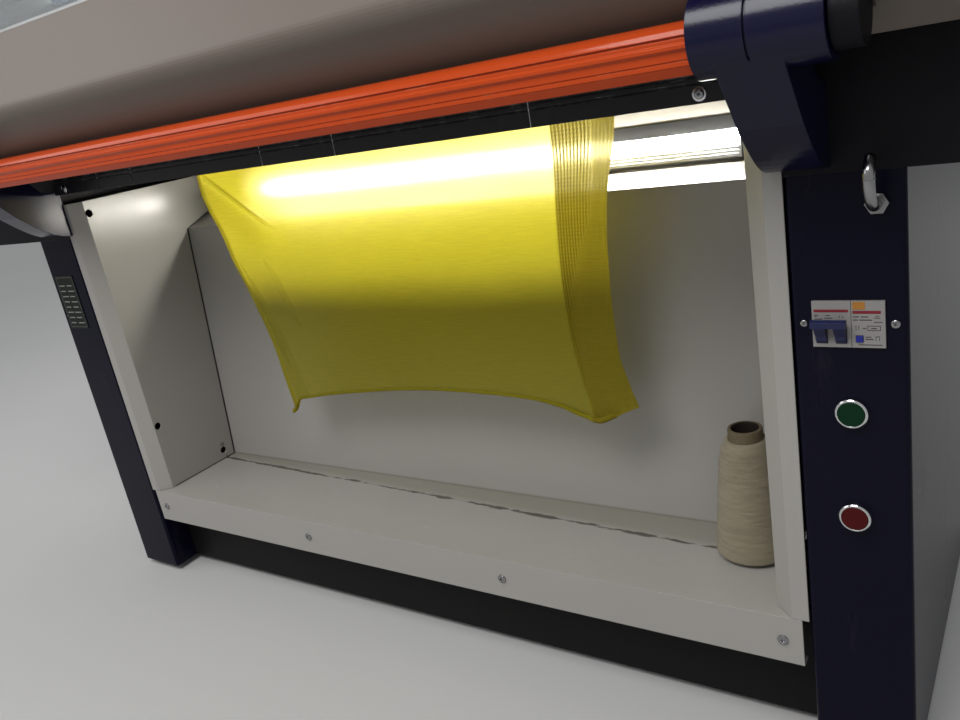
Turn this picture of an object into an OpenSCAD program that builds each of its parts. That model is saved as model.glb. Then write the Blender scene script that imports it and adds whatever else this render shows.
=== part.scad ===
// Flat knitting machine: two leg cabinets carry a V-shaped pair of needle beds with a running
// carriage, yarn feeders, take-down rollers, a lit fabric tray and a yarn stand.
// Origin: on the floor, under the middle of the machine. +X right, +Y to the back, +Z up.

/* [Leg cabinets] */
// Clear width between the two leg cabinets
span_w = 1184; // [1160:2:1300]
// Width of each leg cabinet
leg_w = 101; // [95:1:120]
// Depth of each leg cabinet
leg_d = 560; // [520:5:640]
// Height of the leg cabinets' tops above the floor
leg_h = 660; // [650:1:680]
// Sheet thickness of the cabinets
leg_t = 3; // [2:0.5:4]
// Distance from the origin forward to the legs' front face
front_set = 250; // [230:5:280]
// Height of the levelling feet under the cabinets
foot_h = 12; // [8:1:20]
// Radius of each levelling pad
foot_r = 28; // [20:1:35]

/* [Fabric tray] */
// Height of the tray floor
tray_h = 179; // [160:1:200]
// Height of the front lip
lip_h = 60; // [40:1:80]
// Depth of the tray floor
tray_d = 170; // [150:1:185]
// Sheet thickness of the tray and its walls
sheet_t = 2; // [1:0.5:3]
// Gap between the tray's ends and the cabinets
tray_gap = 9; // [4:1:12]
// Pitch of the lip screws
screw_pitch = 374; // [340:2:390]
// Head radius of the lip screws
screw_r = 6; // [4:0.5:8]
// Width of the side panels' front flange, and of the slanted strip behind it
flange_w = 18; // [12:1:22]
// Height of the side panels' top edge above the cabinets
wall_up = 58; // [52:1:64]
// Depth below the cabinets' tops at which the back panel meets its ledge
back_down = 31; // [25:1:40]
// How far the back panel leans back by that height
back_lean = 38; // [20:1:50]
// Radius of the cable holes in the side panels
wall_hole_r = 6.5; // [3:0.5:8]
// Gap between the side panels and the cabinets
wall_gap = 1.5; // [1:0.1:2.5]

/* [Lamp] */
// Length of the lamp
lamp_l = 904; // [700:2:1000]
// Shift of the lamp's middle to the right
lamp_x = 24; // [0:1:40]
// Depth of the lamp's lower edge below the cabinets' tops
lamp_down = 10; // [4:1:11]
// Depth of the lamp's housing
lamp_d = 14; // [10:1:20]
// Radius of the lamp's tube
tube_r = 10; // [8:0.5:11]

/* [Needle beds] */
// Length of the needle beds
bed_l = 1124; // [1000:2:1160]
// Distance of the knitting gap behind the legs' front face
gap_set = 100; // [90:1:110]
// Width of the knitting gap
gap_w = 7; // [6:0.5:10]
// Height of the beds' ridge above the bed ends
ridge_up = 184; // [178:1:190]
// Horizontal width of each bed, on its 45 degree slope
bed_w = 120; // [100:1:125]
// Thickness of the beds, measured upright
bed_t = 28; // [22:1:34]
// Pitch of the needle slots
needle_pitch = 12.7; // [10:0.1:16]
// Width of a needle slot
slot_w = 3; // [2:0.1:4]
// Depth of a needle slot
slot_d = 6; // [4:0.5:8]
// Height of the bed ends above the cabinets
bed_end_h = 111; // [105:1:120]
// Length of the bed ends outward from the legs' inner faces
bed_end_l = 448; // [400:2:450]

/* [Carriage] */
// Width of the carriage along the beds
carriage_w = 260; // [200:2:300]
// Radius of the carriage's guide rods
rod_r = 12; // [8:0.5:14]
// Distance of the guide rods from the knitting gap
rod_set = 160; // [156:1:166]
// Height of the guide rods above the bed ends
rod_up = 71; // [67:1:75]
// Height of the feeder rails' lower edge above the ridge
feeder_up = 67; // [60:1:74]
// Spacing of the feeder rails
feeder_gap = 34; // [30:1:38]

/* [Start bar] */
// Height of the start bar's turning axis above the bed ends
bar_up = 20.5; // [18:0.5:24]
// Distance of the bar's axis ahead of the legs' front face
bar_set = 108; // [100:1:115]
// Radius of the bearing barrels
barrel_r = 33; // [28:1:35]
// Length of the bearing barrels
barrel_l = 99; // [80:1:105]
// Height of the bar's section
bar_tall = 39; // [30:1:44]
// Depth of the bar's section
bar_deep = 30; // [24:1:34]
// Radius of the bar's journals
journal_r = 11; // [8:0.5:14]

/* [Covers] */
// How far the covers' crease stands ahead of the legs
crease_set = 150; // [145:1:160]
// Height of the crease above the bed ends
crease_up = 91; // [86:1:96]
// Radius of the crease's bend
crease_r = 24; // [10:1:30]
// Height of the cover's top edge above the bed ends
cover_up = 198; // [192:1:204]
// Height of the hood's upper edge above the cover's top edge
hood_up = 211; // [190:1:230]
// Distance of the rear cover behind the origin
rear_set = 400; // [380:5:420]
// Half length of the whole machine
half_l = 1050; // [1045:5:1100]
// Sheet thickness of the covers
cover_t = 3; // [2:0.5:4]
// Thickness of the sliding windows
pane_t = 4; // [3:0.5:6]

/* [Yarn stand] */
// Height of the yarn table above the hood
table_up = 220; // [180:5:260]
// Height of the thread bar above the yarn table
thread_bar_up = 240; // [200:5:280]
// Reach of the yarn table ahead of the posts
table_front = 140; // [120:5:160]
// Reach of the yarn table behind the posts
table_rear = 180; // [160:5:190]
// Height of the table's rims
rim_h = 24; // [15:1:35]
// Radius of the cone pegs
peg_r = 6; // [4:0.5:10]
// Length of the cone pegs
peg_l = 84; // [60:1:120]
// Radius of the stand's posts
post_r = 16; // [12:1:20]
// Distance of the posts from the middle
post_x = 760; // [720:5:800]

/* [Switches] */
// Height of the breaker's middle
breaker_h = 521; // [500:1:540]
// Width of the breaker
breaker_w = 63; // [54:1:70]
// Height of the breaker's face
breaker_tall = 45; // [40:1:50]
// Height of the green start button
green_h = 431.5; // [410:0.5:440]
// Height of the red stop button
red_h = 320; // [300:0.5:340]
// Radius of the buttons' bezels
bezel_r = 15; // [13:0.5:18]
// Height of the green button's bezel, and how much further the red one's stands out
bezel_h = 6; // [5:0.5:8]
red_step = 2.5; // [1:0.5:4]
// Travel of the push buttons
press = 3; // [2:0.5:3.5]
// Radius of the cone hook's rod
hook_r = 5; // [4:0.5:6]

/* [Yarn and fabric] */
// Distance of the cone from the middle
cone_x = 497.5; // [480:0.5:510]
// Height of the cone
cone_h = 170; // [150:1:200]
// Radius of the yarn at its foot
cone_r = 46; // [40:1:52]
// Thickness of the knitted fabric
fabric_t = 3; // [2:0.5:4]

/* [Hidden] */
$fn = 32;
run = 0.3;
half_w = span_w / 2;
bed_end_top = leg_h + bed_end_h;
wall_top = leg_h + wall_up;
back_top = leg_h - back_down;
lamp_z = leg_h - lamp_down;
ridge_h = bed_end_top + ridge_up;
rod_h = bed_end_top + rod_up;
feeder_h = ridge_h + feeder_up;
bar_h = bed_end_top + bar_up;
crease_h = bed_end_top + crease_up;
cover_top = bed_end_top + cover_up;
hood_h = cover_top + hood_up;
table_h = hood_h + table_up;
thread_bar_h = table_h + thread_bar_up;
front_y = -front_set;
gap_y = front_y + gap_set;
leg_x = half_w + leg_w / 2;
hook_x = half_w + leg_w - 23;
hook_z = leg_h - 28;
tray_half = half_w - tray_gap;
wall_half = half_w - wall_gap;
wall_x = wall_half - 2 * flange_w - sheet_t;
tray_back = front_y + tray_d;
ledge_y = tray_back + back_lean;
upright_y = front_y + 272;
upright_top = wall_top + 24;
bed_end_x = half_w + bed_end_l;
bed_end_back = front_y + leg_d - 10;
beam_y = front_y + 1;
beam_w = 44;
beam_low = bed_end_top - 26;
rail_low = beam_low - 9;
roll_r = 22;
roll_set = roll_r + fabric_t / 2 + run;
roll_h = bed_end_top - 17;
roll_shaft_r = 8;
bar_y = front_y - bar_set;
barrel_in = half_w - 28;
collar_end = barrel_in + barrel_l + 21;
collar_r = barrel_r * 0.8;
crease_y = front_y - crease_set;
cover_top_y = crease_y + 51;
cover_low_y = front_y - 85;
cover_low = bed_end_top + 24;
bracket_x = half_w + 128;
bracket_t = 16;
end_x = half_w + 78;
rod_end = bracket_x + bracket_t;
flange_top = 16;
slope = atan2(hood_h - 10 - cover_top, 148);
window_l = (hood_h - 10 - cover_top) / sin(slope);
track_out = 8;
track_in = 17;
pulley_x = half_w + 190;
pulley_r = 26;
pulley_h = bed_end_top + 129;
belt_t = 3;
belt_y = gap_y + rod_set + 44;
belt_w = 18;
cam_t = 24;
cam_lift = 4;
post_y = front_y + 420;
feeder_x = [-500, -440, 470];

// Extrudes a side view, drawn in Y and Z, from one X to another
module along_x(x0, x1) {
    translate([x0, 0, 0]) rotate([90, 0, 90]) linear_extrude(x1 - x0) children();
}

// Extrudes a front view, drawn in X and Z, from one Y to another
module along_y(y0, y1) {
    translate([0, y1, 0]) rotate([90, 0, 0]) linear_extrude(y1 - y0) children();
}

module x_rod(r, x0, x1, y, z) {
    translate([x0, y, z]) rotate([0, 90, 0]) cylinder(r = r, h = x1 - x0);
}

module y_rod(r, y0, y1, x, z) {
    translate([x, y0, z]) rotate([-90, 0, 0]) cylinder(r = r, h = y1 - y0);
}

module block(x0, x1, y0, y1, z0, z1) {
    translate([x0, y0, z0]) cube([x1 - x0, y1 - y0, z1 - z0]);
}

module mirrored() {
    children();
    mirror([1, 0, 0]) children();
}

// A convex outline moved inward by t, each side parallel to itself; points run clockwise
function side_normal(p, q) = [q[1] - p[1], p[0] - q[0]] / norm(q - p);
function inset_point(p, q, r, t) =
    let (n = side_normal(p, q), m = side_normal(q, r))
    q + t * (n + m) / (1 + n * m);
function inset(pts, t) = [for (i = [0:len(pts) - 1])
    inset_point(pts[(i + len(pts) - 1) % len(pts)], pts[i], pts[(i + 1) % len(pts)], t)];

// A bent sheet of even thickness: the outline goes out along pts and returns t to one side
function offset_point(pts, i, t) =
    let (a = i > 0 ? side_normal(pts[i - 1], pts[i]) : side_normal(pts[0], pts[1]),
         b = i < len(pts) - 1 ? side_normal(pts[i], pts[i + 1]) : a)
    pts[i] + t * (a + b) / (1 + a * b);
function sheet(pts, t) = concat(pts, [for (i = [len(pts) - 1:-1:0]) offset_point(pts, i, t)]);

// Leg cabinet: folded box with rounded front edges, closed at the back
module leg_shell() {
    bend = 5;
    difference() {
        translate([half_w, front_y, foot_h]) linear_extrude(leg_h - foot_h) union() {
            translate([bend, 0]) square([leg_w - 2 * bend, bend + 1]);
            translate([0, bend]) square([leg_w, leg_d - bend]);
            for (x = [bend, leg_w - bend]) translate([x, bend]) circle(r = bend);
        }
        block(half_w + leg_t, half_w + leg_w - leg_t, front_y + leg_t, front_y + leg_d - leg_t,
            foot_h + leg_t, leg_h - leg_t);
    }
}

module left_leg() {
    color([0.03, 0.03, 0.06]) mirror([1, 0, 0]) leg_shell();
}

module right_leg() {
    color([0.03, 0.03, 0.06]) difference() {
        leg_shell();
        block(leg_x - breaker_w / 2 - run, leg_x + breaker_w / 2 + run, front_y - 1, front_y + leg_t + 1,
            breaker_h - breaker_tall / 2 - run, breaker_h + breaker_tall / 2 + run);
        for (z = [green_h, red_h])
            y_rod(bezel_r - 4, front_y - 1, front_y + leg_t + 1, leg_x, z);
        y_rod(screw_r / 2, front_y - 1, front_y + leg_t + 1, hook_x, hook_z);
    }
}

// Levelling feet: a pad, a threaded stud and a lock nut under each cabinet corner
module levelling_feet() {
    color([0.25, 0.25, 0.27]) mirrored()
        for (y = [front_y + 60, front_y + leg_d - 60]) translate([leg_x, y, 0]) {
            cylinder(r = foot_r, h = foot_h - 4);
            translate([0, 0, foot_h - 4]) cylinder(r = 10, h = 4, $fn = 6);
        }
}

// Black cross panels between the cabinets: kick panel in front, stiffened back panel behind
module cross_panels() {
    kick_y = front_y + 47;
    back_y = front_y + leg_d - 40;
    color([0.05, 0.05, 0.06]) {
        along_x(-half_w, half_w)
            polygon(sheet([[kick_y + 24, foot_h], [kick_y, foot_h], [kick_y, tray_h - sheet_t - lip_h / 4],
                [kick_y + 24, tray_h - sheet_t - lip_h / 4]], sheet_t));
        along_x(-half_w, half_w)
            polygon(sheet([[back_y, leg_h - 20], [back_y + 30, leg_h - 20], [back_y + 30, foot_h + 60],
                [back_y, foot_h + 60]], sheet_t));
        block(-half_w, half_w, front_y + 80, front_y + 135, tray_h - sheet_t - 42, tray_h - sheet_t);
    }
}

// Fabric tray: one folded sheet with a front lip and a return under it
module fabric_tray() {
    color([0.85, 0.84, 0.80]) difference() {
        along_x(-tray_half, tray_half)
            polygon(sheet([[front_y + 16, tray_h - lip_h], [front_y, tray_h - lip_h], [front_y, tray_h],
                [tray_back, tray_h]], sheet_t));
        for (k = [-1.5:1:1.5])
            y_rod(screw_r / 2, front_y - 1, front_y + sheet_t + 1, k * screw_pitch, tray_h - lip_h / 2);
    }
}

// Pan-head lip screws with a cross recess, and a small screw on each side wall
module tray_screws() {
    color([0.75, 0.75, 0.77]) for (k = [-1.5:1:1.5])
        translate([k * screw_pitch, front_y, tray_h - lip_h / 2]) rotate([90, 0, 0]) difference() {
            union() {
                translate([0, 0, -8]) cylinder(r = screw_r / 2 - 0.2, h = 8);
                cylinder(r = screw_r, h = 1.6);
                translate([0, 0, 1.6]) cylinder(r1 = screw_r, r2 = screw_r * 0.6, h = 1.4);
            }
            for (a = [0, 90]) rotate(a) translate([-screw_r * 0.5, -0.6, 1.4]) cube([screw_r, 1.2, 2]);
        }
    color([0.75, 0.75, 0.77]) mirrored()
        x_rod(screw_r * 0.6, wall_x - 2, wall_x, front_y + tray_d - 25, tray_h + 31);
}

// Side walls of the tray: front flange, slanted strip and a wall cut to the back panel's lean
module side_panels() {
    color([0.85, 0.84, 0.80]) mirrored() difference() {
        intersection() {
            translate([0, 0, tray_h + run]) linear_extrude(wall_top - tray_h - run)
                polygon(sheet([[wall_half, front_y], [wall_half - flange_w, front_y],
                    [wall_x, front_y + flange_w], [wall_x, upright_y]], sheet_t));
            along_x(wall_x - 9, wall_half + 9)
                polygon([[front_y - 9, tray_h], [tray_back - run, tray_h], [ledge_y - run, back_top],
                    [upright_y - run, back_top + 25], [upright_y - run, wall_top + 9],
                    [front_y - 9, wall_top + 9]]);
        }
        for (p = [[24, wall_top - 21], [26, tray_h + 123], [tray_d - 25, tray_h + 18],
            [back_lean + 224, back_top + 51]])
            x_rod(wall_hole_r, wall_x - 9, wall_x + 9, front_y + p[0], p[1]);
    }
}

// Back of the tray: leaning panel, ledge under the lamp and an upright strip behind it
module tray_back_panel() {
    color([0.87, 0.86, 0.82])
        along_x(-wall_half, wall_half)
            polygon(sheet([[tray_back, tray_h], [ledge_y, back_top], [upright_y, back_top + 17],
                [upright_y, upright_top], [upright_y + 60, upright_top]], sheet_t));
    color([0.05, 0.05, 0.06]) mirrored()
        block(wall_half - 40, half_w, upright_y + sheet_t, upright_y + 40, upright_top - 60,
            upright_top - 30);
}

// Aluminium reflector with a slanted upper face, a grooved lower strip and end caps
module lamp_housing() {
    x0 = lamp_x - lamp_l / 2;
    y0 = upright_y - lamp_d;
    tube_z = lamp_z + tube_r + 13;
    color([0.75, 0.76, 0.78]) {
        along_x(x0 + 4, x0 + lamp_l - 4) difference() {
            polygon([[upright_y, lamp_z], [y0, lamp_z], [y0, tube_z], [upright_y - 2, lamp_z + 49],
                [upright_y, lamp_z + 49]]);
            translate([y0 + 1, tube_z]) circle(r = tube_r + run);
            translate([y0 - 1, lamp_z + 8]) square([1.6, 1.5]);
            translate([y0 - 1, lamp_z + 4]) square([1.6, 1.5]);
        }
        for (x = [x0, x0 + lamp_l - 4]) along_x(x, x + 4)
            polygon([[upright_y, lamp_z - 1], [y0 - 1, lamp_z - 1], [y0 - 1, lamp_z + 24],
                [upright_y - 3, lamp_z + 50], [upright_y, lamp_z + 50]]);
    }
}

// Glowing tube in front of the reflector, held between the end caps
module lamp_diffuser() {
    x0 = lamp_x - lamp_l / 2 + 4;
    color([1, 0.97, 0.9])
        x_rod(tube_r, x0, x0 + lamp_l - 8, upright_y - lamp_d + 1, lamp_z + tube_r + 13);
}

// Bed end: dark casting on the cabinet, ribbed outside, with an arm and collar beside the bar's barrel
module bed_end() {
    difference() {
        block(half_w, bed_end_x, front_y, bed_end_back, leg_h, bed_end_top);
        for (x = [half_w + leg_w + 16:(bed_end_l - leg_w - 20) / 3:bed_end_x - 60])
            block(x, x + (bed_end_l - leg_w - 68) / 3, front_y + 14, bed_end_back + 1, leg_h - 1,
                bed_end_top - 14);
        block(half_w + 14, half_w + leg_w, front_y + 14, bed_end_back - 14, leg_h - 1, bed_end_top - 14);
        for (s = [-1, 1])
            x_rod(roll_shaft_r + run, half_w - 1, half_w + 15, gap_y + s * roll_set, roll_h);
    }
    x_rod(collar_r, barrel_in + barrel_l + 1, collar_end, bar_y, bar_h);
    block(barrel_in + barrel_l + 1, end_x - run, bar_y - 2, front_y + 30, bed_end_top - 4,
        bed_end_top + 16);
}

module left_bed_end() {
    color([0.08, 0.08, 0.09]) mirror([1, 0, 0]) bed_end();
}

module right_bed_end() {
    color([0.08, 0.08, 0.09]) bed_end();
}

// Height of a bed's upper face at a distance from the knitting gap
function bed_z(d) = ridge_h - (d - gap_w / 2);

// Beam under a bed, with its top cut to the bed's slope; s is -1 in front and 1 behind
module bed_beam(s) {
    near = gap_y - beam_y - beam_w;
    far = gap_y - beam_y;
    along_x(-half_w, half_w)
        polygon([for (p = [[far, beam_low], [near, beam_low], [near, bed_z(near) - bed_t],
            [far, bed_z(far) - bed_t]]) [gap_y + s * p[0], p[1]]]);
}

module front_beam() {
    color([0.1, 0.1, 0.11]) bed_beam(-1);
}

module rear_beam() {
    color([0.1, 0.1, 0.11]) bed_beam(1);
}

// Needle bed: slotted plate on a 45 degree slope, drawn in its own plane and then tilted
needle_count = floor((bed_l - 12) / needle_pitch);
function slot_x(i) = (i - (needle_count - 1) / 2) * needle_pitch;

// Side outline of a bed or of what slides on it, from the gap outward
function bed_side(top, under, d0, d1) =
    [[d0, bed_z(d0) + top], [d1, bed_z(d1) + top], [d1, bed_z(d1) + under], [d0, bed_z(d0) + under]];

module on_slope(s, pts) {
    polygon([for (p = pts) [gap_y + s * p[0], p[1]]]);
}

module needle_bed(s, shift) {
    d0 = gap_w / 2;
    difference() {
        along_x(-bed_l / 2, bed_l / 2) on_slope(s, bed_side(0, -bed_t + (s > 0 ? run : 0), d0, d0 + bed_w));
        translate([shift, 0, 0]) for (i = [0:needle_count - 1])
            along_x(slot_x(i) - slot_w / 2, slot_x(i) + slot_w / 2)
                on_slope(s, bed_side(9, -slot_d, d0 - 1, d0 + bed_w - 14));
        along_x(-bed_l / 2 - 1, bed_l / 2 + 1) on_slope(s, bed_side(9, -2, d0 + 70, d0 + 78));
    }
}

module front_needle_bed() {
    color([0.72, 0.73, 0.75]) needle_bed(-1, 0);
}

module rear_needle_bed() {
    color([0.72, 0.73, 0.75]) needle_bed(1, needle_pitch / 2);
}

// Latch needles: a flat stem in each slot, an upright butt and a hook at the ridge
module needles(s, shift) {
    d0 = gap_w / 2;
    t = slot_w - 2 * run;
    for (i = [0:needle_count - 1])
        along_x(shift + slot_x(i) - t / 2, shift + slot_x(i) + t / 2)
            on_slope(s, [[d0 + 1, bed_z(d0 + 1) - 1], [d0 + 50, bed_z(d0 + 50) - 1],
                [d0 + 50, bed_z(d0 + 50) + 3], [d0 + 58, bed_z(d0 + 58) + 3],
                [d0 + 58, bed_z(d0 + 58) - 1], [d0 + 100, bed_z(d0 + 100) - 1],
                [d0 + 100, bed_z(d0 + 100) - slot_d], [d0 + 1, bed_z(d0 + 1) - slot_d]]);
}

module front_needles() {
    color([0.8, 0.8, 0.82]) needles(-1, 0);
}

module rear_needles() {
    color([0.8, 0.8, 0.82]) needles(1, needle_pitch / 2);
}

// Take-down roller with rubber bands between grooves, and its journals
module feed_roller(s) {
    band_l = bed_l / 8;
    for (k = [0:7]) x_rod(roll_r, -bed_l / 2 + k * band_l + 3, -bed_l / 2 + (k + 1) * band_l - 3,
        gap_y + s * roll_set, roll_h);
    x_rod(roll_r - 4, -bed_l / 2, bed_l / 2, gap_y + s * roll_set, roll_h);
    x_rod(roll_shaft_r, -half_w - 10, half_w + 10, gap_y + s * roll_set, roll_h);
}

module takedown_roller() {
    color([0.15, 0.15, 0.15]) feed_roller(-1);
}

module pinch_roller() {
    color([0.15, 0.15, 0.15]) feed_roller(1);
}

// Black grooved rail in front of the beam, in joined lengths
module front_rail() {
    cuts = [-half_w + 32, -430, -342, -57, 73, 350, half_w - 32];
    y0 = beam_y - 20;
    joint = 1.5;
    color([0.06, 0.06, 0.07]) for (k = [0:len(cuts) - 2])
        along_x(cuts[k], cuts[k + 1] - joint) difference() {
            translate([y0, rail_low]) square([20, 40]);
            for (z = [17, 23, 29]) translate([y0 - 1, rail_low + z]) square([2.5, 2]);
            translate([y0 - 1, rail_low + 35]) square([1.8, 1.2]);
        }
}

// Orange start bar: extruded section with a rounded upper lobe, a groove and a ridge
module start_bar() {
    x1 = barrel_in - 1.5;
    up = bar_tall * 0.32;
    down = bar_tall - up;
    r = bar_deep / 2;
    color([0.80, 0.25, 0.08]) {
        along_x(-x1, x1) difference() {
            translate([bar_y, bar_h]) union() {
                intersection() {
                    circle(r = r);
                    translate([-r, -2]) square([2 * r, r + 3]);
                }
                polygon([[-r, 2], [r, 2], [r, 0], [r - 2, -down], [-r + 6, -down], [-r + 1, -down + 8],
                    [-r + 1, -8], [-r - 1.5, -5.5], [-r - 1.5, -2.5], [-r, -1]]);
            }
            translate([bar_y - r - 1, bar_h + 2.4]) square([3.4, 1.8]);
            translate([bar_y - r, bar_h - 15]) square([1.8, 1]);
            translate([bar_y - r, bar_h - 20]) square([1.8, 1]);
        }
        for (s = [-1, 1]) x_rod(journal_r, s > 0 ? x1 - 1 : -x1 - 40, s > 0 ? x1 + 40 : -x1 + 1, bar_y, bar_h);
    }
}

// Bracket of the start bar: a bearing barrel on an arm that slants back to the leg's front
module bar_bracket() {
    arm_x = barrel_in + 16;
    r = barrel_r;
    difference() {
        union() {
            x_rod(r, barrel_in, barrel_in + 43, bar_y, bar_h);
            x_rod(r - 2.5, barrel_in, barrel_in + barrel_l, bar_y, bar_h);
            x_rod(r, barrel_in + 45, barrel_in + barrel_l, bar_y, bar_h);
            along_x(arm_x, arm_x + 52) difference() {
                polygon([[bar_y - 0.72 * r, bar_h - 0.69 * r], [front_y - 82, leg_h + 54],
                    [front_y - 70, leg_h + 43.4], [front_y - 61, leg_h + 35.5], [front_y - 53, leg_h + 29],
                    [front_y - 44, leg_h + 22.3], [front_y - 35, leg_h + 16.6], [front_y - 27, leg_h + 12.5],
                    [front_y - 18, leg_h + 9.2], [front_y - 9, leg_h + 6.9], [front_y, leg_h + 6],
                    [front_y, leg_h + 78], [front_y - 30, leg_h + 84], [bar_y + 0.7 * r, bar_h + 0.6 * r]]);
                translate([bar_y, bar_h]) circle(r = r - 3);
            }
        }
        x_rod(journal_r + run, barrel_in - 1, barrel_in + 44, bar_y, bar_h);
    }
}

module left_bar_bracket() {
    color([0.05, 0.06, 0.15]) mirror([1, 0, 0]) bar_bracket();
}

module right_bar_bracket() {
    color([0.05, 0.06, 0.15]) bar_bracket();
}

// Points of an arc from angle a to angle b round a centre in Y and Z
function arc(y, z, r, a, b, n) =
    [for (i = [0:n]) let (turn = a + (b - a) * i / n) [y + r * cos(turn), z + r * sin(turn)]];

// The covers' bend at the crease, from its lower tangent point to its upper one
lower_lean = atan2(crease_h - cover_low, cover_low_y - crease_y);
upper_lean = atan2(cover_top - crease_h, cover_top_y - crease_y);
crease_turn = (upper_lean - lower_lean) / 2;
crease_out = crease_r / sin((lower_lean + upper_lean) / 2);
crease_bend = arc(crease_y + crease_out * cos(crease_turn), crease_h + crease_out * sin(crease_turn),
    crease_r, 270 - lower_lean, 90 + upper_lean, 8);

// Front cover: folded trough, full between the barrels and cut short above them
module front_cover() {
    x1 = barrel_in - 4;
    x2 = end_x;
    color([0.55, 0.52, 0.48]) {
        along_x(-x1, x1)
            polygon(sheet(concat([[beam_y, cover_low], [cover_low_y, cover_low]], crease_bend,
                [[cover_top_y, cover_top], [cover_top_y + flange_top, cover_top]]), cover_t));
        mirrored() along_x(x1 - 1, x2)
            polygon(sheet(concat(crease_bend, [[cover_top_y, cover_top],
                [cover_top_y + flange_top, cover_top]]), cover_t));
    }
}

// Side outline of the end covers, clockwise from the lower front corner, with its crease as given
cover_low_end = cover_low_y + (cover_low - bed_end_top) / tan(lower_lean);
function cover_side(crease) = concat([[cover_low_end, bed_end_top + run]], crease, [[cover_top_y, cover_top],
    [cover_top_y + 144, hood_h - 6], [cover_top_y + 160, hood_h], [rear_set - 160, hood_h],
    [rear_set, hood_h - 180], [rear_set, bed_end_top + 20], [rear_set - 20, bed_end_top + run]]);

// End cover: painted shell on the bed end, with a framed opening that the carriage runs into
module end_cover() {
    seam = 12;
    difference() {
        along_x(end_x, half_l) polygon(cover_side(crease_bend));
        along_x(end_x + cover_t, half_l - cover_t) polygon(inset(cover_side(crease_bend), cover_t));
        along_x(end_x - 1, end_x + cover_t + 1)
            polygon(inset(cover_side([[crease_y, crease_h]]), 2 * seam));
        block(end_x + cover_t, bed_end_x - seam, front_y + seam, bed_end_back - seam, bed_end_top - 1,
            bed_end_top + cover_t + 1);
        x_rod(collar_r + 1.5, end_x - 1, collar_end + 1.5, bar_y, bar_h);
        for (k = [0:6]) block(half_l - cover_t - 1, half_l + 1, 20, 160, bed_end_top + 40 + k * 16,
            bed_end_top + 46 + k * 16);
    }
}

module left_end_cover() {
    color([0.62, 0.60, 0.56]) mirror([1, 0, 0]) end_cover();
}

module right_end_cover() {
    color([0.62, 0.60, 0.56]) end_cover();
}

// Rear cover: sheet that closes the back between the end covers, open on top for the yarns
module rear_cover() {
    color([0.62, 0.60, 0.56]) {
        along_x(-end_x, end_x)
            polygon(sheet([[rear_set - 160, hood_h], [rear_set, hood_h - 180], [rear_set, bed_end_top + 20],
                [rear_set - 20, bed_end_top], [bed_end_back, bed_end_top]], cover_t));
        for (x = [-half_w - 40, 0, half_w + 22])
            block(x, x + 18, bed_end_back, rear_set - 24, bed_end_top - 30, bed_end_top + cover_t / 2);
        block(-half_w, half_w, bed_end_back - 30, bed_end_back + 10, bed_end_top - 30,
            bed_end_top + cover_t / 2);
    }
}

// Places a child in the slanted plane of the windows: Y up the slope, Z outward
module window_plane() {
    translate([0, cover_top_y + flange_top, cover_top]) rotate([slope, 0, 0]) children();
}

// Hood beam with the upper track, and the lower track on the front cover
module hood_beam() {
    x1 = end_x;
    color([0.70, 0.71, 0.73]) {
        along_x(-x1, x1) translate([cover_top_y + flange_top + 176, hood_h - 34]) difference() {
            square([40, 30]);
            translate([3, 3]) square([34, 24]);
        }
        along_x(-x1, x1) translate([cover_top_y + 4, cover_top]) square([flange_top, 3]);
        window_plane() for (y = [0, window_l - 12])
            translate([0, y, 0]) along_x(-x1, x1) difference() {
                translate([0, -22]) square([12, 22]);
                for (z = [-track_out, -track_in])
                    translate([y > 0 ? -1 : 4, z - pane_t / 2 - 0.5]) square([9, pane_t + 1]);
            }
        window_plane() along_x(-x1, x1) translate([window_l - 12, -36]) square([12, 15]);
    }
}

// Sliding window: acrylic pane in its own groove, at depth z, with a grip strip on its face
module window(x0, x1, z, grip_x, grip_t) {
    color([0.75, 0.80, 0.82, 0.4]) window_plane()
        block(x0, x1, 4.5, window_l - 4.5, z - pane_t / 2, z + pane_t / 2);
    color([0.2, 0.2, 0.2]) window_plane()
        block(grip_x - 8, grip_x + 8, 60, 170, z + pane_t / 2, z + pane_t / 2 + grip_t);
}

module left_window() {
    window(-end_x + 6, 12, -track_in, -end_x + 20, track_in - track_out - pane_t - 1.2);
}

module right_window() {
    window(-12, end_x - 6, -track_out, end_x - 20, 14);
}

// End brackets on the bed ends: plates that hold the guide rods and the feeder rails
module end_brackets() {
    foot = 70;
    arm = 26;
    color([0.30, 0.31, 0.33]) mirrored() difference() {
        along_x(bracket_x, bracket_x + bracket_t) union() {
            polygon([[front_y + 20, bed_end_top], [gap_y + rod_set + 12, bed_end_top],
                [gap_y + rod_set + arm, rod_h - arm], [gap_y + rod_set + arm, rod_h + arm],
                [gap_y + rod_set - 30, rod_h + arm + 8], [gap_y + foot, feeder_h + 24],
                [gap_y - foot, feeder_h + 24], [gap_y - rod_set + 30, rod_h + arm + 8],
                [gap_y - rod_set - arm, rod_h + arm], [gap_y - rod_set - arm, rod_h - arm]]);
        }
        for (s = [-1, 1]) x_rod(rod_r + 0.05, bracket_x - 1, rod_end + 1, gap_y + s * rod_set, rod_h);
        translate([0, gap_y, bed_end_top + 110]) along_x(bracket_x - 1, rod_end + 1)
            polygon([[-70, -60], [70, -60], [44, 60], [-44, 60]]);
    }
}

module guide_rods() {
    color([0.80, 0.81, 0.83]) for (s = [-1, 1]) x_rod(rod_r, -rod_end, rod_end, gap_y + s * rod_set, rod_h);
}

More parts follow.
